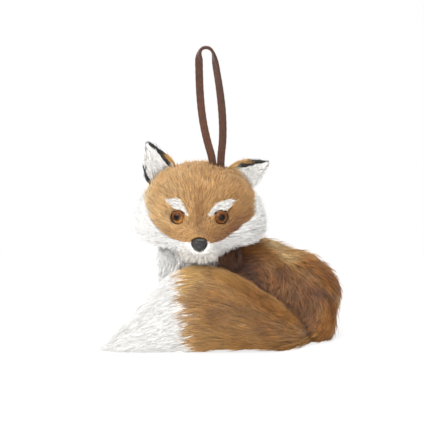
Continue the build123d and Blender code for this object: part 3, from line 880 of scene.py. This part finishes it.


# Colours of each coat, from 0 to 1 of its own scale, which the coat functions below give to each hair; how
# dark the root is painted, as painted shade deep in the pile; how many mm its patches are across; and how far
# hairs and patches differ
furFinish = {
    "brownAcrylicPile": {
        "tones": [(0.0, "#532e16"), (0.25, "#77471a"), (0.5, "#92602a"), (0.75, "#b08a54"), (1.0, "#d1b686")],
        "root": "#786a5e", "patch": 7.0, "spread": 0.42, "rough": 0.5, "sheen": 0.15},
    "goldenBrownAcrylicPile": {
        "tones": [(0.0, "#67401a"), (0.25, "#865720"), (0.5, "#a17439"), (0.7, "#b48d59"), (0.84, "#c69f62"),
                  (0.9, "#eeebe4"), (1.0, "#f7f5f2")],
        "root": "#8a7c70", "patch": 7.0, "spread": 0.32, "rough": 0.5, "sheen": 0.15},
    "tanAcrylicPile": {
        "tones": [(0.0, "#90582c"), (0.25, "#b58546"), (0.5, "#d2a464"), (0.75, "#e3bf86"), (0.88, "#efdcb8"),
                  (1.0, "#fbfaf7")],
        "root": "#a89a8c", "patch": 7.0, "spread": 0.2, "rough": 0.55, "sheen": 0.15},
    "whiteAcrylicPile": {
        "tones": [(0.0, "#cfc7ba"), (0.5, "#edebe8"), (1.0, "#f7f7f6")],
        "root": "#ecebe9", "patch": 8.0, "spread": 0.03, "rough": 0.6, "sheen": 0.2},
    "whiteToBrownAcrylicPile": {
        "tones": [(0.0, "#5c3018"), (0.25, "#7c5030"), (0.34, "#a58a6c"), (0.42, "#e2ddd5"), (0.6, "#f5f3f0"),
                  (1.0, "#fefefd")],
        "root": "#f0eeec", "patch": 8.0, "spread": 0.04, "rough": 0.6, "sheen": 0.2},
    "edgedEarPile": {
        "tones": [(0.0, "#151210"), (0.2, "#2a221c"), (0.4, "#8a6638"), (0.6, "#cda05e"), (0.75, "#e6cb98"),
                  (0.85, "#f0eee9"), (1.0, "#f9f8f6")],
        "root": "#dcd8d4", "patch": 6.0, "spread": 0.1, "rough": 0.55, "sheen": 0.1},
}


def furMaterial(name, finish):
    # acrylic pile: smooth drawn fibres, so each hair is satin and the coat gleams across its lie; where the
    # hair stands picks its colour, and each hair and each patch of the coat is a little lighter or darker
    material, tree = newMaterial(name)
    along, shade, coat = (addNode(tree, "ShaderNodeAttribute", {"attribute_name": word})
                          for word in ("along", "shade", "coat"))
    place = addNode(tree, "ShaderNodeTexCoord")
    patches = addNode(tree, "ShaderNodeTexNoise",
                      {"Scale": noiseScale(finish["patch"]), "Detail": 3.0, "Roughness": 0.6},
                      {"Vector": (place, "Object")})
    tone = addNode(tree, "ShaderNodeValToRGB", {"stops": finish["tones"]}, {"Fac": (coat, "Fac")})
    hairSpread, patchSpread = finish["spread"], finish["spread"] * 0.6
    own = addNode(tree, "ShaderNodeMapRange", {3: 1 - hairSpread, 4: 1 + hairSpread}, {0: (shade, "Fac")})
    patch = addNode(tree, "ShaderNodeMapRange", {1: 0.3, 2: 0.7, 3: 1 - patchSpread, 4: 1 + patchSpread},
                    {0: (patches, "Fac")})
    value = addNode(tree, "ShaderNodeMath", {"operation": "MULTIPLY"}, {0: (own, 0), 1: (patch, 0)})
    varied = addNode(tree, "ShaderNodeHueSaturation", links={"Value": (value, 0), "Color": (tone, "Color")})
    # painted shade: each hair is darker towards its root, as the pile is shaded deep down
    root = addNode(tree, "ShaderNodeValToRGB",
                   {"stops": [(0.0, finish["root"]), (0.6, "#f4f4f4"), (1.0, "#ffffff")]},
                   {"Fac": (along, "Fac")})
    mixed = addNode(tree, "ShaderNodeMix", {"data_type": "RGBA", "blend_type": "MULTIPLY", "Factor": 1.0},
                    {6: (varied, "Color"), 7: (root, "Color")})
    closeMaterial(tree, {"Roughness": finish["rough"], "IOR": 1.45, "Sheen Weight": finish["sheen"],
                         "Sheen Roughness": 0.4}, {"Base Color": (mixed, 2)})
    return material


furs = {name: furMaterial(name, finish) for name, finish in furFinish.items()}
brownFur, goldenFur, tanFur, whiteFur, chestFur, edgedFur = furs.values()
brownPoints, brownTriangles, _ = nodeArrays("body_fur")
brownSkin = BVHTree.FromPolygons([tuple(p) for p in brownPoints], [tuple(t) for t in brownTriangles])


def ripple(points, size):
    # slow, smooth unevenness over the part, from -1 to 1
    p = points / size
    return (np.sin(p[:, 0] * 2.1 + 1.3 * np.sin(p[:, 2] * 1.7)) * np.cos(p[:, 1] * 1.9 + p[:, 2] * 2.3)
            + 0.5 * np.sin(p[:, 2] * 4.3 + p[:, 0] * 3.1 + p[:, 1] * 2.7)) / 1.5


# Amounts of each coat's tones, on the scale of its finish
coatTones = {
    "body": {"usual": 0.39, "top": 0.44, "end": 0.18, "shadeBesideChest": 0.30, "uneven": 0.2},
    "tail": {"usual": 0.40, "tipSide": 0.22, "top": 0.26, "low": 0.10, "rootSide": 0.16, "uneven": 0.10,
             "lightest": 0.82, "edge": 0.8, "white": 0.97},
    "mask": {"usual": 0.51, "streak": 0.26, "muzzle": 0.12, "cheeks": 0.04, "shadeAcrossPerMm": 0.006, "right": 0.28,
             "rim": 0.16, "leftRimLight": 0.10, "rightMuzzleShade": 0.12, "uneven": 0.08, "darkest": 0.02,
             "lightest": 0.80, "white": 1.0},
    "white": {"usual": 0.68, "chin": 0.55, "uneven": 0.2},
    "chest": {"usual": 0.8, "shaded": 0.16, "brown": 0.12},
    "ear": {"black": 0.05, "tan": {"left": 0.6, "right": 0.62}, "pale": 0.9, "lower": 0.95, "lining": 0.97,
            "liningRoot": 0.4},
}
coatEdges = {"gold": 2.4, "shoulder": (-7.5, -4.0), "ruff": 22.4, "brown": 1.8}     # mm


def bodyCoat(points):
    # lighter and olive along the top, partly painted light from above, lighter down the rump's end, and
    # redder and darker beside the chest, as painted shade beneath the head
    tones = coatTones["body"]
    # painted light: the top is lighter, as lit from above; painted shade: darker beside the chest, beneath
    # the head
    light = tones["top"] * band(points, z=(31, 40), x=(2, 14)) + tones["end"] * band(points, x=(44, 52))
    dark = tones["shadeBesideChest"] * band(points, x=(20, 2), z=(8, 20)) * (points[:, 1] < 12)
    return np.clip(tones["usual"] + light - dark + tones["uneven"] * ripple(points, 7.0), 0, 1)


def tailCoat(points):
    # golden towards the white end, deeper towards the root, painted light along the top and the bottom, and
    # white hairs at the very edge of the brown
    tones, x = coatTones["tail"], points[:, 0]
    gold = tones["usual"] + tones["tipSide"] * band(points, x=(4, -8))
    gold -= tones["rootSide"] * band(points, x=(6, 34))
    # painted light: lighter along the top, as lit from above, and along the bottom, as lit from below
    gold += tones["top"] * band(points, z=(20, 32), x=(34, 10)) + tones["low"] * band(points, z=(16, 6))
    gold = np.clip(gold + tones["uneven"] * ripple(points, 8.0), 0, tones["lightest"])
    edge = tailPlan["whiteEdge"] - 3.6 * band(points, z=(12, 28)) + 1.5 * band(points, z=(10, 2))
    edge = edge + tailPlan["ragged"] * ripple(points, 3.0)
    gold = np.maximum(gold, tones["edge"] * smoothStep(edge + coatEdges["gold"], edge, x))
    return np.where(x < edge, tones["white"], gold)


def maskCoat(points):
    # a redder streak between the eyes, painted light on the viewer's left and painted shade on the right and
    # on the right of the muzzle, and white in the brows
    tones = coatTones["mask"]
    across = points[:, 0] - headMiddle[0]
    off = np.abs(across)
    front = points[:, 1] < 0
    streak = smoothStep(3.4, 0.5, off) * band(points, z=(48, 54)) * band(points, z=(70, 60)) * front
    lower = band(points, z=(62, 54)) * smoothStep(6, 14, off)
    # painted shade on the right of the forehead and muzzle, and painted light at the left rim, as light falls
    # from the viewer's left
    right = band(points, z=(66, 54)) * smoothStep(2, 16, across)
    rightMuzzleShade = band(points, z=(56, 50)) * smoothStep(0, 3, across)
    rim = smoothStep(17, 25, off) * (tones["rim"] + tones["leftRimLight"] * (across < 0))
    tan = tones["usual"] + tones["cheeks"] * lower + rim - tones["streak"] * streak - tones["right"] * right
    tan -= tones["muzzle"] * band(points, z=(53, 49)) * front + tones["rightMuzzleShade"] * rightMuzzleShade
    # painted shade growing towards the viewer's right
    tan -= tones["shadeAcrossPerMm"] * across
    tan = np.clip(tan + tones["uneven"] * ripple(points, 6.0), tones["darkest"], tones["lightest"])
    ruff = (across > coatEdges["ruff"] + 0.8 * ripple(points, 2.0)) & (points[:, 2] < 62)
    return np.where((browShape(points)[0] > 0) | ruff, tones["white"], tan)


def whiteCoat(points):
    # creamier under the chin, and darker there as painted shade
    tones = coatTones["white"]
    x, y, z = points.T
    # painted shade under the jaw, with a cream tone
    under = band(points, z=(47, 40)) * (z > 35) * (y < -12) * (x > headMiddle[0] - 14)
    return tones["usual"] + tones["uneven"] * ripple(points, 7.0) - tones["chin"] * under


def chestCoat(points):
    # white, greyer in the shade of the chin, and brown where the shoulder begins
    tones = coatTones["chest"]
    x, y, _ = points.T
    shoulder = smoothStep(*coatEdges["shoulder"], x + 1.2 * ripple(points, 3.0)) * (y < 12)
    gap = np.array([brownSkin.find_nearest(tuple(p))[3] for p in points])
    shoulder = np.where((y > 4) & (gap < coatEdges["brown"] + 2.2 * ripple(points, 2.0)), 1.0, shoulder)
    white = tones["usual"] - tones["shaded"] * band(points, x=(-16, -9), z=(26, 32))
    return white * (1 - shoulder) + tones["brown"] * shoulder


def earBackCoat(word):
    tones = coatTones["ear"]
    tan = tones["tan"][word]

    def coatOf(points):
        # black edge and tip, tan at the root and down the edge beside the crown
        across, up = earPlaces(points, word)
        outer = smoothStep(-0.55, -0.85, across) * smoothStep(0.04, 0.12, up)
        if word == "left":       # its outer edge is black low down only
            far = smoothStep(0.40, 0.62, up)
            pale = (across < -0.8) & (up > 0.46) & (up < 0.84)
            dark = tan * (1 - far) * (1 - outer) + tones["black"] * np.maximum(far, outer)
            return np.where(pale, tones["pale"], dark)
        far = smoothStep(0.52, 0.78, up + 0.10 * across)
        white = tones["lower"] - tones["pale"] * smoothStep(0.86, 0.97, up)      # its lower edge
        return np.where(outer > 0.5, white, tan * (1 - far) + tones["black"] * far)
    return coatOf


def earLiningCoat(word):
    tones = coatTones["ear"]
    reach = {"left": (0.56, 0.76), "right": (0.54, 0.74)}[word]

    def coatOf(points):
        # white, with the black edge drawn over it beside the crown
        across, up = earPlaces(points, word)
        dark = smoothStep(*reach, across + 0.15 * up) * smoothStep(0.10, 0.3, up)
        dark = np.maximum(dark, smoothStep(0.86, 0.97, up))
        root = smoothStep(0.22, 0.02, up) * smoothStep(0.3, 0.8, across)
        return np.where(dark > 0.5, tones["black"], tones["lining"] - tones["liningRoot"] * root)
    return coatOf


# Each coat: name, pile, form, CAD node, lie, colouring, material and slot
coats = [
    ("bodyFur", "body", "body", "body_fur", bodyFlow, bodyCoat, brownFur, "brown_fur"),
    ("napeFur", "nape", "body", "nape_fur", neckFlow, bodyCoat, brownFur, "brown_fur"),
    ("chestFur", "chest", "body", "chest_fur", neckFlow, chestCoat, chestFur, "white_fur"),
    ("tailFur", "tail", "tail", "tail_fur", tailFlow, tailCoat, goldenFur, "brown_fur"),
    ("tailTipFur", "tailTip", "tail", "tail_tip_fur", tailFlow, whiteCoat, whiteFur, "white_fur"),
    ("maskFur", "mask", "head", "mask_fur", headFlow, maskCoat, tanFur, "tan_fur"),
    ("leftCheekFur", "cheek", "head", "cheek_fur_left", headFlow, whiteCoat, whiteFur, "white_fur"),
    ("rightCheekFur", "cheek", "head", "cheek_fur_right", headFlow, whiteCoat, whiteFur, "white_fur"),
    ("chinFur", "chin", "head", "chin_fur", headFlow, whiteCoat, whiteFur, "white_fur"),
    ("leftBrowFur", "brow", "head", "brow_fur_left", headFlow, maskCoat, tanFur, "white_fur"),
    ("rightBrowFur", "brow", "head", "brow_fur_right", headFlow, maskCoat, tanFur, "white_fur"),
]
for word in sides:
    ear, flow = word + "Ear", earFlow(word)
    coats += [
        (ear + "Fur", "ear", ear, "ear_back_" + word, flow, earBackCoat(word), edgedFur, "ear_felt"),
        (ear + "LiningFur", "earLining", ear, "ear_lining_" + word, flow, earLiningCoat(word), edgedFur,
         "white_fur")]
mostTriangles = 190000    # in one piece


def makeCoat(name, pile, formName, node, flow, coatOf, material, slotName):
    plan = {**usualPile, **pilePlan[pile], "form": formName, "node": node, "flow": flow, "coatOf": coatOf}
    putPiece(name + "Backing", backing(name + "Backing", plan), material, [node])
    path, ups, radii, values = growCoat(plan)
    perHair = 6 * (plan["rings"] - 1) + 4
    parts = math.ceil(len(path) * perHair / mostTriangles)
    order = np.argsort(path[:, 0, 0] + 0.001 * path[:, 0, 1])
    for number, chosen in enumerate(np.array_split(order, parts)):
        label = name if parts == 1 else name + "Part" + str(number + 1)
        own = {key: numbers[chosen] for key, numbers in values.items()}
        mesh = hairMesh(label, path[chosen], ups[chosen], radii[chosen], own)
        putPiece(label, mesh, material, [node])
    print(name, len(path), "hairs in", parts)


for coat in coats:
    makeCoat(*coat)

# Eyes and nose

amberPlan = {
    "fibre": 0.455,           # mm
    "painted": [(0.0, "#0c0705"), (0.38, "#160d08"), (0.52, "#4a2a16"), (0.74, "#6f4224"), (0.88, "#7e4e2a"),
                (0.98, "#2a180e")],
    # painted light: the amber as lit through the dome
    "lit": [(0.0, "#140b06"), (0.34, "#2c1a0e"), (0.50, "#94602e"), (0.74, "#cf9450"), (0.9, "#b57c40"),
            (0.99, "#5a381c")],
}


def amberEyeMaterial(plan):
    # clear acrylic eye over a painted back: the amber shows deep under a high polish, with painted light
    # where light passing through the dome would gather
    material, tree = newMaterial("amberAcrylicEye")
    radial, glow = (addNode(tree, "ShaderNodeAttribute", {"attribute_name": word})
                    for word in ("radial", "glow"))
    place = addNode(tree, "ShaderNodeTexCoord")
    fibres = addNode(tree, "ShaderNodeTexNoise", {"Scale": noiseScale(plan["fibre"]), "Detail": 2.0},
                     {"Vector": (place, "Object")})
    painted = addNode(tree, "ShaderNodeValToRGB", {"stops": plan["painted"]}, {"Fac": (radial, "Fac")})
    lit = addNode(tree, "ShaderNodeValToRGB", {"stops": plan["lit"]}, {"Fac": (radial, "Fac")})
    iris = addNode(tree, "ShaderNodeMix", {"data_type": "RGBA"},
                   {"Factor": (glow, "Fac"), 6: (painted, "Color"), 7: (lit, "Color")})
    streak = addNode(tree, "ShaderNodeValToRGB", {"stops": [(0.3, "#c8c8c8"), (0.7, "#ffffff")]},
                     {"Fac": (fibres, "Fac")})
    both = addNode(tree, "ShaderNodeMix", {"data_type": "RGBA", "blend_type": "MULTIPLY", "Factor": 1.0},
                   {6: (iris, 2), 7: (streak, "Color")})
    closeMaterial(tree, {"Roughness": 0.05, "IOR": 1.33, "Specular IOR Level": 0.22},
                  {"Base Color": (both, 2)})
    return material


def mottledMaterial(name, dark, light, grain, settings, softness=0.15, detail=3.0, rough=0.5, pits=None):
    # two tones in grains of so many mm, with a softness between them; pits are (strength, mm deep)
    material, tree = newMaterial(name)
    place = addNode(tree, "ShaderNodeTexCoord")
    mottle = addNode(tree, "ShaderNodeTexNoise",
                     {"Scale": noiseScale(grain), "Detail": detail, "Roughness": rough},
                     {"Vector": (place, "Object")})
    tone = addNode(tree, "ShaderNodeValToRGB", {"stops": [(0.5 - softness, dark), (0.5 + softness, light)]},
                   {"Fac": (mottle, "Fac")})
    links = {"Base Color": (tone, "Color")}
    if pits:
        bump = addNode(tree, "ShaderNodeBump", {"Strength": pits[0], "Distance": pits[1] * mm},
                       {"Height": (mottle, "Fac")})
        links["Normal"] = (bump, "Normal")
    closeMaterial(tree, settings, links)
    return material


def lathe(name, profile, segments, place, out, hollow=False):
    # turns a profile of (radius, height) about the way out; a hollow one joins its last row to its first
    out = Vector(out).normalized()
    side = out.cross(Vector((0, 0, 1))).normalized()
    over = side.cross(out)
    points, turns = [], []
    for radius, height in profile:
        for k in range(segments):
            a = 2 * math.pi * k / segments
            way = side * math.cos(a) + over * math.sin(a)
            points.append(Vector(place) + way * radius + out * height)
            turns.append((radius, math.cos(a), math.sin(a)))
    rows = len(profile)
    faces = []
    for i in range(rows if hollow else rows - 1):
        j = (i + 1) % rows
        for k in range(segments):
            n = (k + 1) % segments
            faces.append((i * segments + k, j * segments + k, j * segments + n, i * segments + n))
    if not hollow:
        faces.append(tuple(range(segments)))
        faces.append(tuple((rows - 1) * segments + k for k in reversed(range(segments))))
    return faceOutwards(meshFromArrays(name, np.array([p[:] for p in points]), faces)), np.array(turns)


def makeEyes(plan):
    amber = amberEyeMaterial(amberPlan)
    # moulded black ABS: satin, with a faint grain of the mould
    seatBlack = mottledMaterial("blackAbsSeat", "#1c120c", "#2a1c13", 0.625, {"Roughness": 0.6, "IOR": 1.42},
                                softness=0.2, pits=(0.25, 0.04))
    radius, height = plan["radius"], plan["height"]
    ball = (radius ** 2 + height ** 2) / (2 * height)
    profile = []
    for k in range(plan["rows"]):
        r = radius * math.sin(math.pi / 2 * (k + plan["first"]) / (plan["rows"] - 1 + plan["first"]))
        profile.append((r, math.sqrt(ball ** 2 - r ** 2) - ball))
    profile.append((radius * plan["foot"][0], -height - plan["foot"][1]))
    ring = [(radius + across, up - height) for across, up in plan["seat"]]
    for word, side in sides.items():
        turn = math.radians(plan["turn"]) * side
        out = np.array([math.sin(turn), -math.cos(turn), 0])
        points, _, _ = nodeArrays("eye_dome_" + word)
        middle = (points.min(0) + points.max(0)) / 2
        top = middle + out * ((points @ out).max() - middle @ out)      # front of the dome
        mesh, turns = lathe(word + "Eye", profile, plan["segments"], top, out)
        # painted light on the amber, from the front and from below
        below = np.clip(-turns[:, 1:] @ plan["glowFrom"], 0, 1)
        putValues(mesh, {"radial": turns[:, 0] / radius, "glow": below * plan["glow"][word]})
        putPiece(word + "Eye", mesh, amber, ["eye_dome_" + word])
        seat, _ = lathe(word + "EyeSeat", ring, plan["segments"], top, out, hollow=True)
        putPiece(word + "EyeSeat", seat, seatBlack)


makeEyes(eyePlan)

nosePlan = {
    "skin": (0.22, 10),       # size of its faces in mm, and rounds of smoothing
    "narrow": 0.92,
    "drop": 5.6,              # of the dimple's middle below the head's
    "dimple": 0.45, "dimpleSize": 1.15,
    "face": (2.4, 0.8),       # mm behind its front, between which the dimple fades
}


def makeNose(plan):
    form = makeForm("noseForm", ["nose"], *plan["skin"])
    used, faces = onlyUsed(form["quads"])
    points = form["points"][used]
    front = points[:, 1].min()
    across, up = headMiddle[0], headMiddle[2] - plan["drop"]
    off = np.hypot(points[:, 0] - across, points[:, 2] - up)
    facing = smoothStep(*(front + depth for depth in plan["face"]), points[:, 1])
    points[:, 0] = across + (points[:, 0] - across) * plan["narrow"]
    points[:, 1] += plan["dimple"] * np.exp(-(off / plan["dimpleSize"]) ** 2) * facing
    mesh = meshFromArrays("noseButton", points, faces)
    mesh.shade_smooth()
    # moulded black ABS: satin, with a faint grain of the mould
    black = mottledMaterial("satinBlackAbs", "#100f0e", "#1c1a18", 0.625, {"Roughness": 0.33, "IOR": 1.42},
                            softness=0.2, pits=(0.25, 0.04))
    putPiece("noseButton", mesh, black, ["nose"])


makeNose(nosePlan)
print("eyes and nose made")

# Base and the pieces inside

basePlan = {
    "skin": (0.4, 2),         # size of its faces in mm, and rounds of smoothing
    "offFloor": 0.02,
    "fibres": 0.714,          # mm, coarser than the real felt's so that they show
    "pit": 0.1,
}


def makeBase(plan):
    form = makeForm("feltForm", ["base_felt"], *plan["skin"])
    used, faces = onlyUsed(form["quads"])
    points = form["points"][used]
    points[:, 2] = np.maximum(points[:, 2], plan["offFloor"])
    mesh = meshFromArrays("baseFelt", points, faces)
    mesh.shade_smooth()
    # needled wool felt: matt, with short loose fibres that show as a fine mottle
    felt = mottledMaterial("needledFelt", "#4a3424", "#6b4d35", plan["fibres"],
                           {"Roughness": 0.95, "Sheen Weight": 0.3}, softness=0.2, detail=5.0, rough=0.75,
                           pits=(0.6, plan["pit"]))
    putPiece("baseFelt", mesh, felt, ["base_felt"])


makeBase(basePlan)
# expanded foam: chalky white, mottled by its beads
foam = mottledMaterial("expandedFoam", "#d8d8d4", "#e6e6e2", 2.5, {"Roughness": 0.9})
furRoom = 2.8             # how deep the roots of the pile reach


def makeFoam(name, node, formName, bend=None):
    # a foam core as it is drawn, pressed back from its fur where the pile's roots would reach it
    points, triangles, _ = nodeArrays(node)
    if bend:
        points = bend(points)
    for i, point in enumerate(points):
        near, way, _, gap = forms[formName]["tree"].find_nearest(tuple(point))
        inside = (Vector(point) - near).dot(way) < 0
        if not inside or gap < furRoom:
            points[i] = np.array(near) - np.array(way) * furRoom
    putPiece(name, meshFromArrays(name, points, triangles), foam, [node])


makeFoam("headFoam", "head_core", "head", shapeHead)
makeFoam("tailFoam", "tail_core", "tail")
makeFoam("bodyFoam", "body_core", "body", roundRump)

# turned beech: matt, with short pale pores
beech = mottledMaterial("beechPeg", "#b08a5c", "#c9a678", 1.5, {"Roughness": 0.6})
# drawn steel: bright, faintly streaked by the die
steel = mottledMaterial("drawnSteelWire", "#808084", "#9a9a9e", 0.5, {"Roughness": 0.35, "Metallic": 1.0})
# hot melt glue: cloudy, set with a soft gloss
glue = mottledMaterial("setHotGlue", "#c8bda0", "#d6ccb2", 3.0, {"Roughness": 0.4})
# moulded black ABS, as the eyes' seats
backBlack = mottledMaterial("blackAbsBack", "#0d0a09", "#1a1412", 1.0, {"Roughness": 0.4})
for node, material in {"neck_peg": beech, "tail_wire": steel, "loop_plug": glue, "eye_back_left": backBlack,
                       "eye_back_right": backBlack}.items():
    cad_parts[node].data.materials.clear()
    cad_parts[node].data.materials.append(material)
print("base and inner pieces finished")

# Floor, lamps and world

stagePlan = {
    "half": 3000.0,           # half the floor's side
    "paper": (0.9, 0.9, 0.9, 1),
    "clean": {1: 0.09, 2: 0.2, 3: 0.74, 4: 1.0},    # how clean a white is seen, by metres from the part
    "sky": (1.0, 0.99, 0.98, 1), "skyStrength": 0.80,
    "white": (1, 1, 1, 1),
    "aim": (0, 0, 40),        # of the lamps
}
lampPlan = {
    "key": {"at": (-420, -540, 560), "size": 500, "watts": 7.0},
    "fill": {"at": (150, -700, 70), "size": 600, "watts": 3.3},
    "top": {"at": (60, 260, 760), "size": 500, "watts": 3.8},
}


def makeFloor(plan):
    # white paper floor, which the camera sees as pure white away from the part's soft shadow
    half = plan["half"]
    corners = np.array([(-half, -half, 0), (half, -half, 0), (half, half, 0), (-half, half, 0)])
    mesh = meshFromArrays("floor", corners, [(0, 1, 2, 3)])
    floor = bpy.data.objects.new("floor", mesh)
    bpy.context.scene.collection.objects.link(floor)
    material, tree = newMaterial("whitePaper")
    paper = addNode(tree, "ShaderNodeBsdfDiffuse", {"Color": plan["paper"]})
    glow = addNode(tree, "ShaderNodeEmission", {"Color": plan["white"], "Strength": 1.0})
    rays = addNode(tree, "ShaderNodeLightPath")
    place = addNode(tree, "ShaderNodeTexCoord")
    away = addNode(tree, "ShaderNodeVectorMath", {"operation": "LENGTH"}, {0: (place, "Object")})
    clean = addNode(tree, "ShaderNodeMapRange", plan["clean"], {0: (away, "Value")})
    share = addNode(tree, "ShaderNodeMath", {"operation": "MULTIPLY"},
                    {0: (rays, "Is Camera Ray"), 1: (clean, 0)})
    mixed = addNode(tree, "ShaderNodeMixShader", links={0: (share, 0), 1: (paper, 0), 2: (glow, 0)})
    addNode(tree, "ShaderNodeOutputMaterial", links={"Surface": (mixed, 0)})
    mesh.materials.append(material)


def makeWorld(plan):
    # a soft, nearly white sky lights the part, and the camera sees plain white
    world = bpy.data.worlds.new("studio")
    bpy.context.scene.world = world
    world.use_nodes = True
    tree = world.node_tree
    tree.nodes.clear()
    soft = addNode(tree, "ShaderNodeBackground", {"Color": plan["sky"], "Strength": plan["skyStrength"]})
    white = addNode(tree, "ShaderNodeBackground", {"Color": plan["white"], "Strength": 1.0})
    rays = addNode(tree, "ShaderNodeLightPath")
    seen = addNode(tree, "ShaderNodeMath", {"operation": "MAXIMUM"},
                   {0: (rays, "Is Camera Ray"), 1: (rays, "Is Glossy Ray")})
    clear = addNode(tree, "ShaderNodeMath", {"operation": "MAXIMUM"},
                    {0: (seen, 0), 1: (rays, "Is Transmission Ray")})
    mixed = addNode(tree, "ShaderNodeMixShader", links={0: (clear, 0), 1: (soft, 0), 2: (white, 0)})
    addNode(tree, "ShaderNodeOutputWorld", links={"Surface": (mixed, 0)})


def makeLamp(name, plan, aim):
    data = bpy.data.lights.new(name, "AREA")
    data.shape = "SQUARE"
    data.size = plan["size"] * mm
    data.energy = plan["watts"]
    lamp = bpy.data.objects.new(name, data)
    bpy.context.scene.collection.objects.link(lamp)
    lamp.location = Vector(plan["at"]) * mm
    lamp.rotation_euler = (Vector(aim) - Vector(plan["at"])).to_track_quat("-Z", "Y").to_euler()


makeFloor(stagePlan)
makeWorld(stagePlan)
for name, plan in lampPlan.items():
    makeLamp(name, plan, stagePlan["aim"])
bpy.context.scene.view_settings.view_transform = "Standard"
print("stage and lamps set")
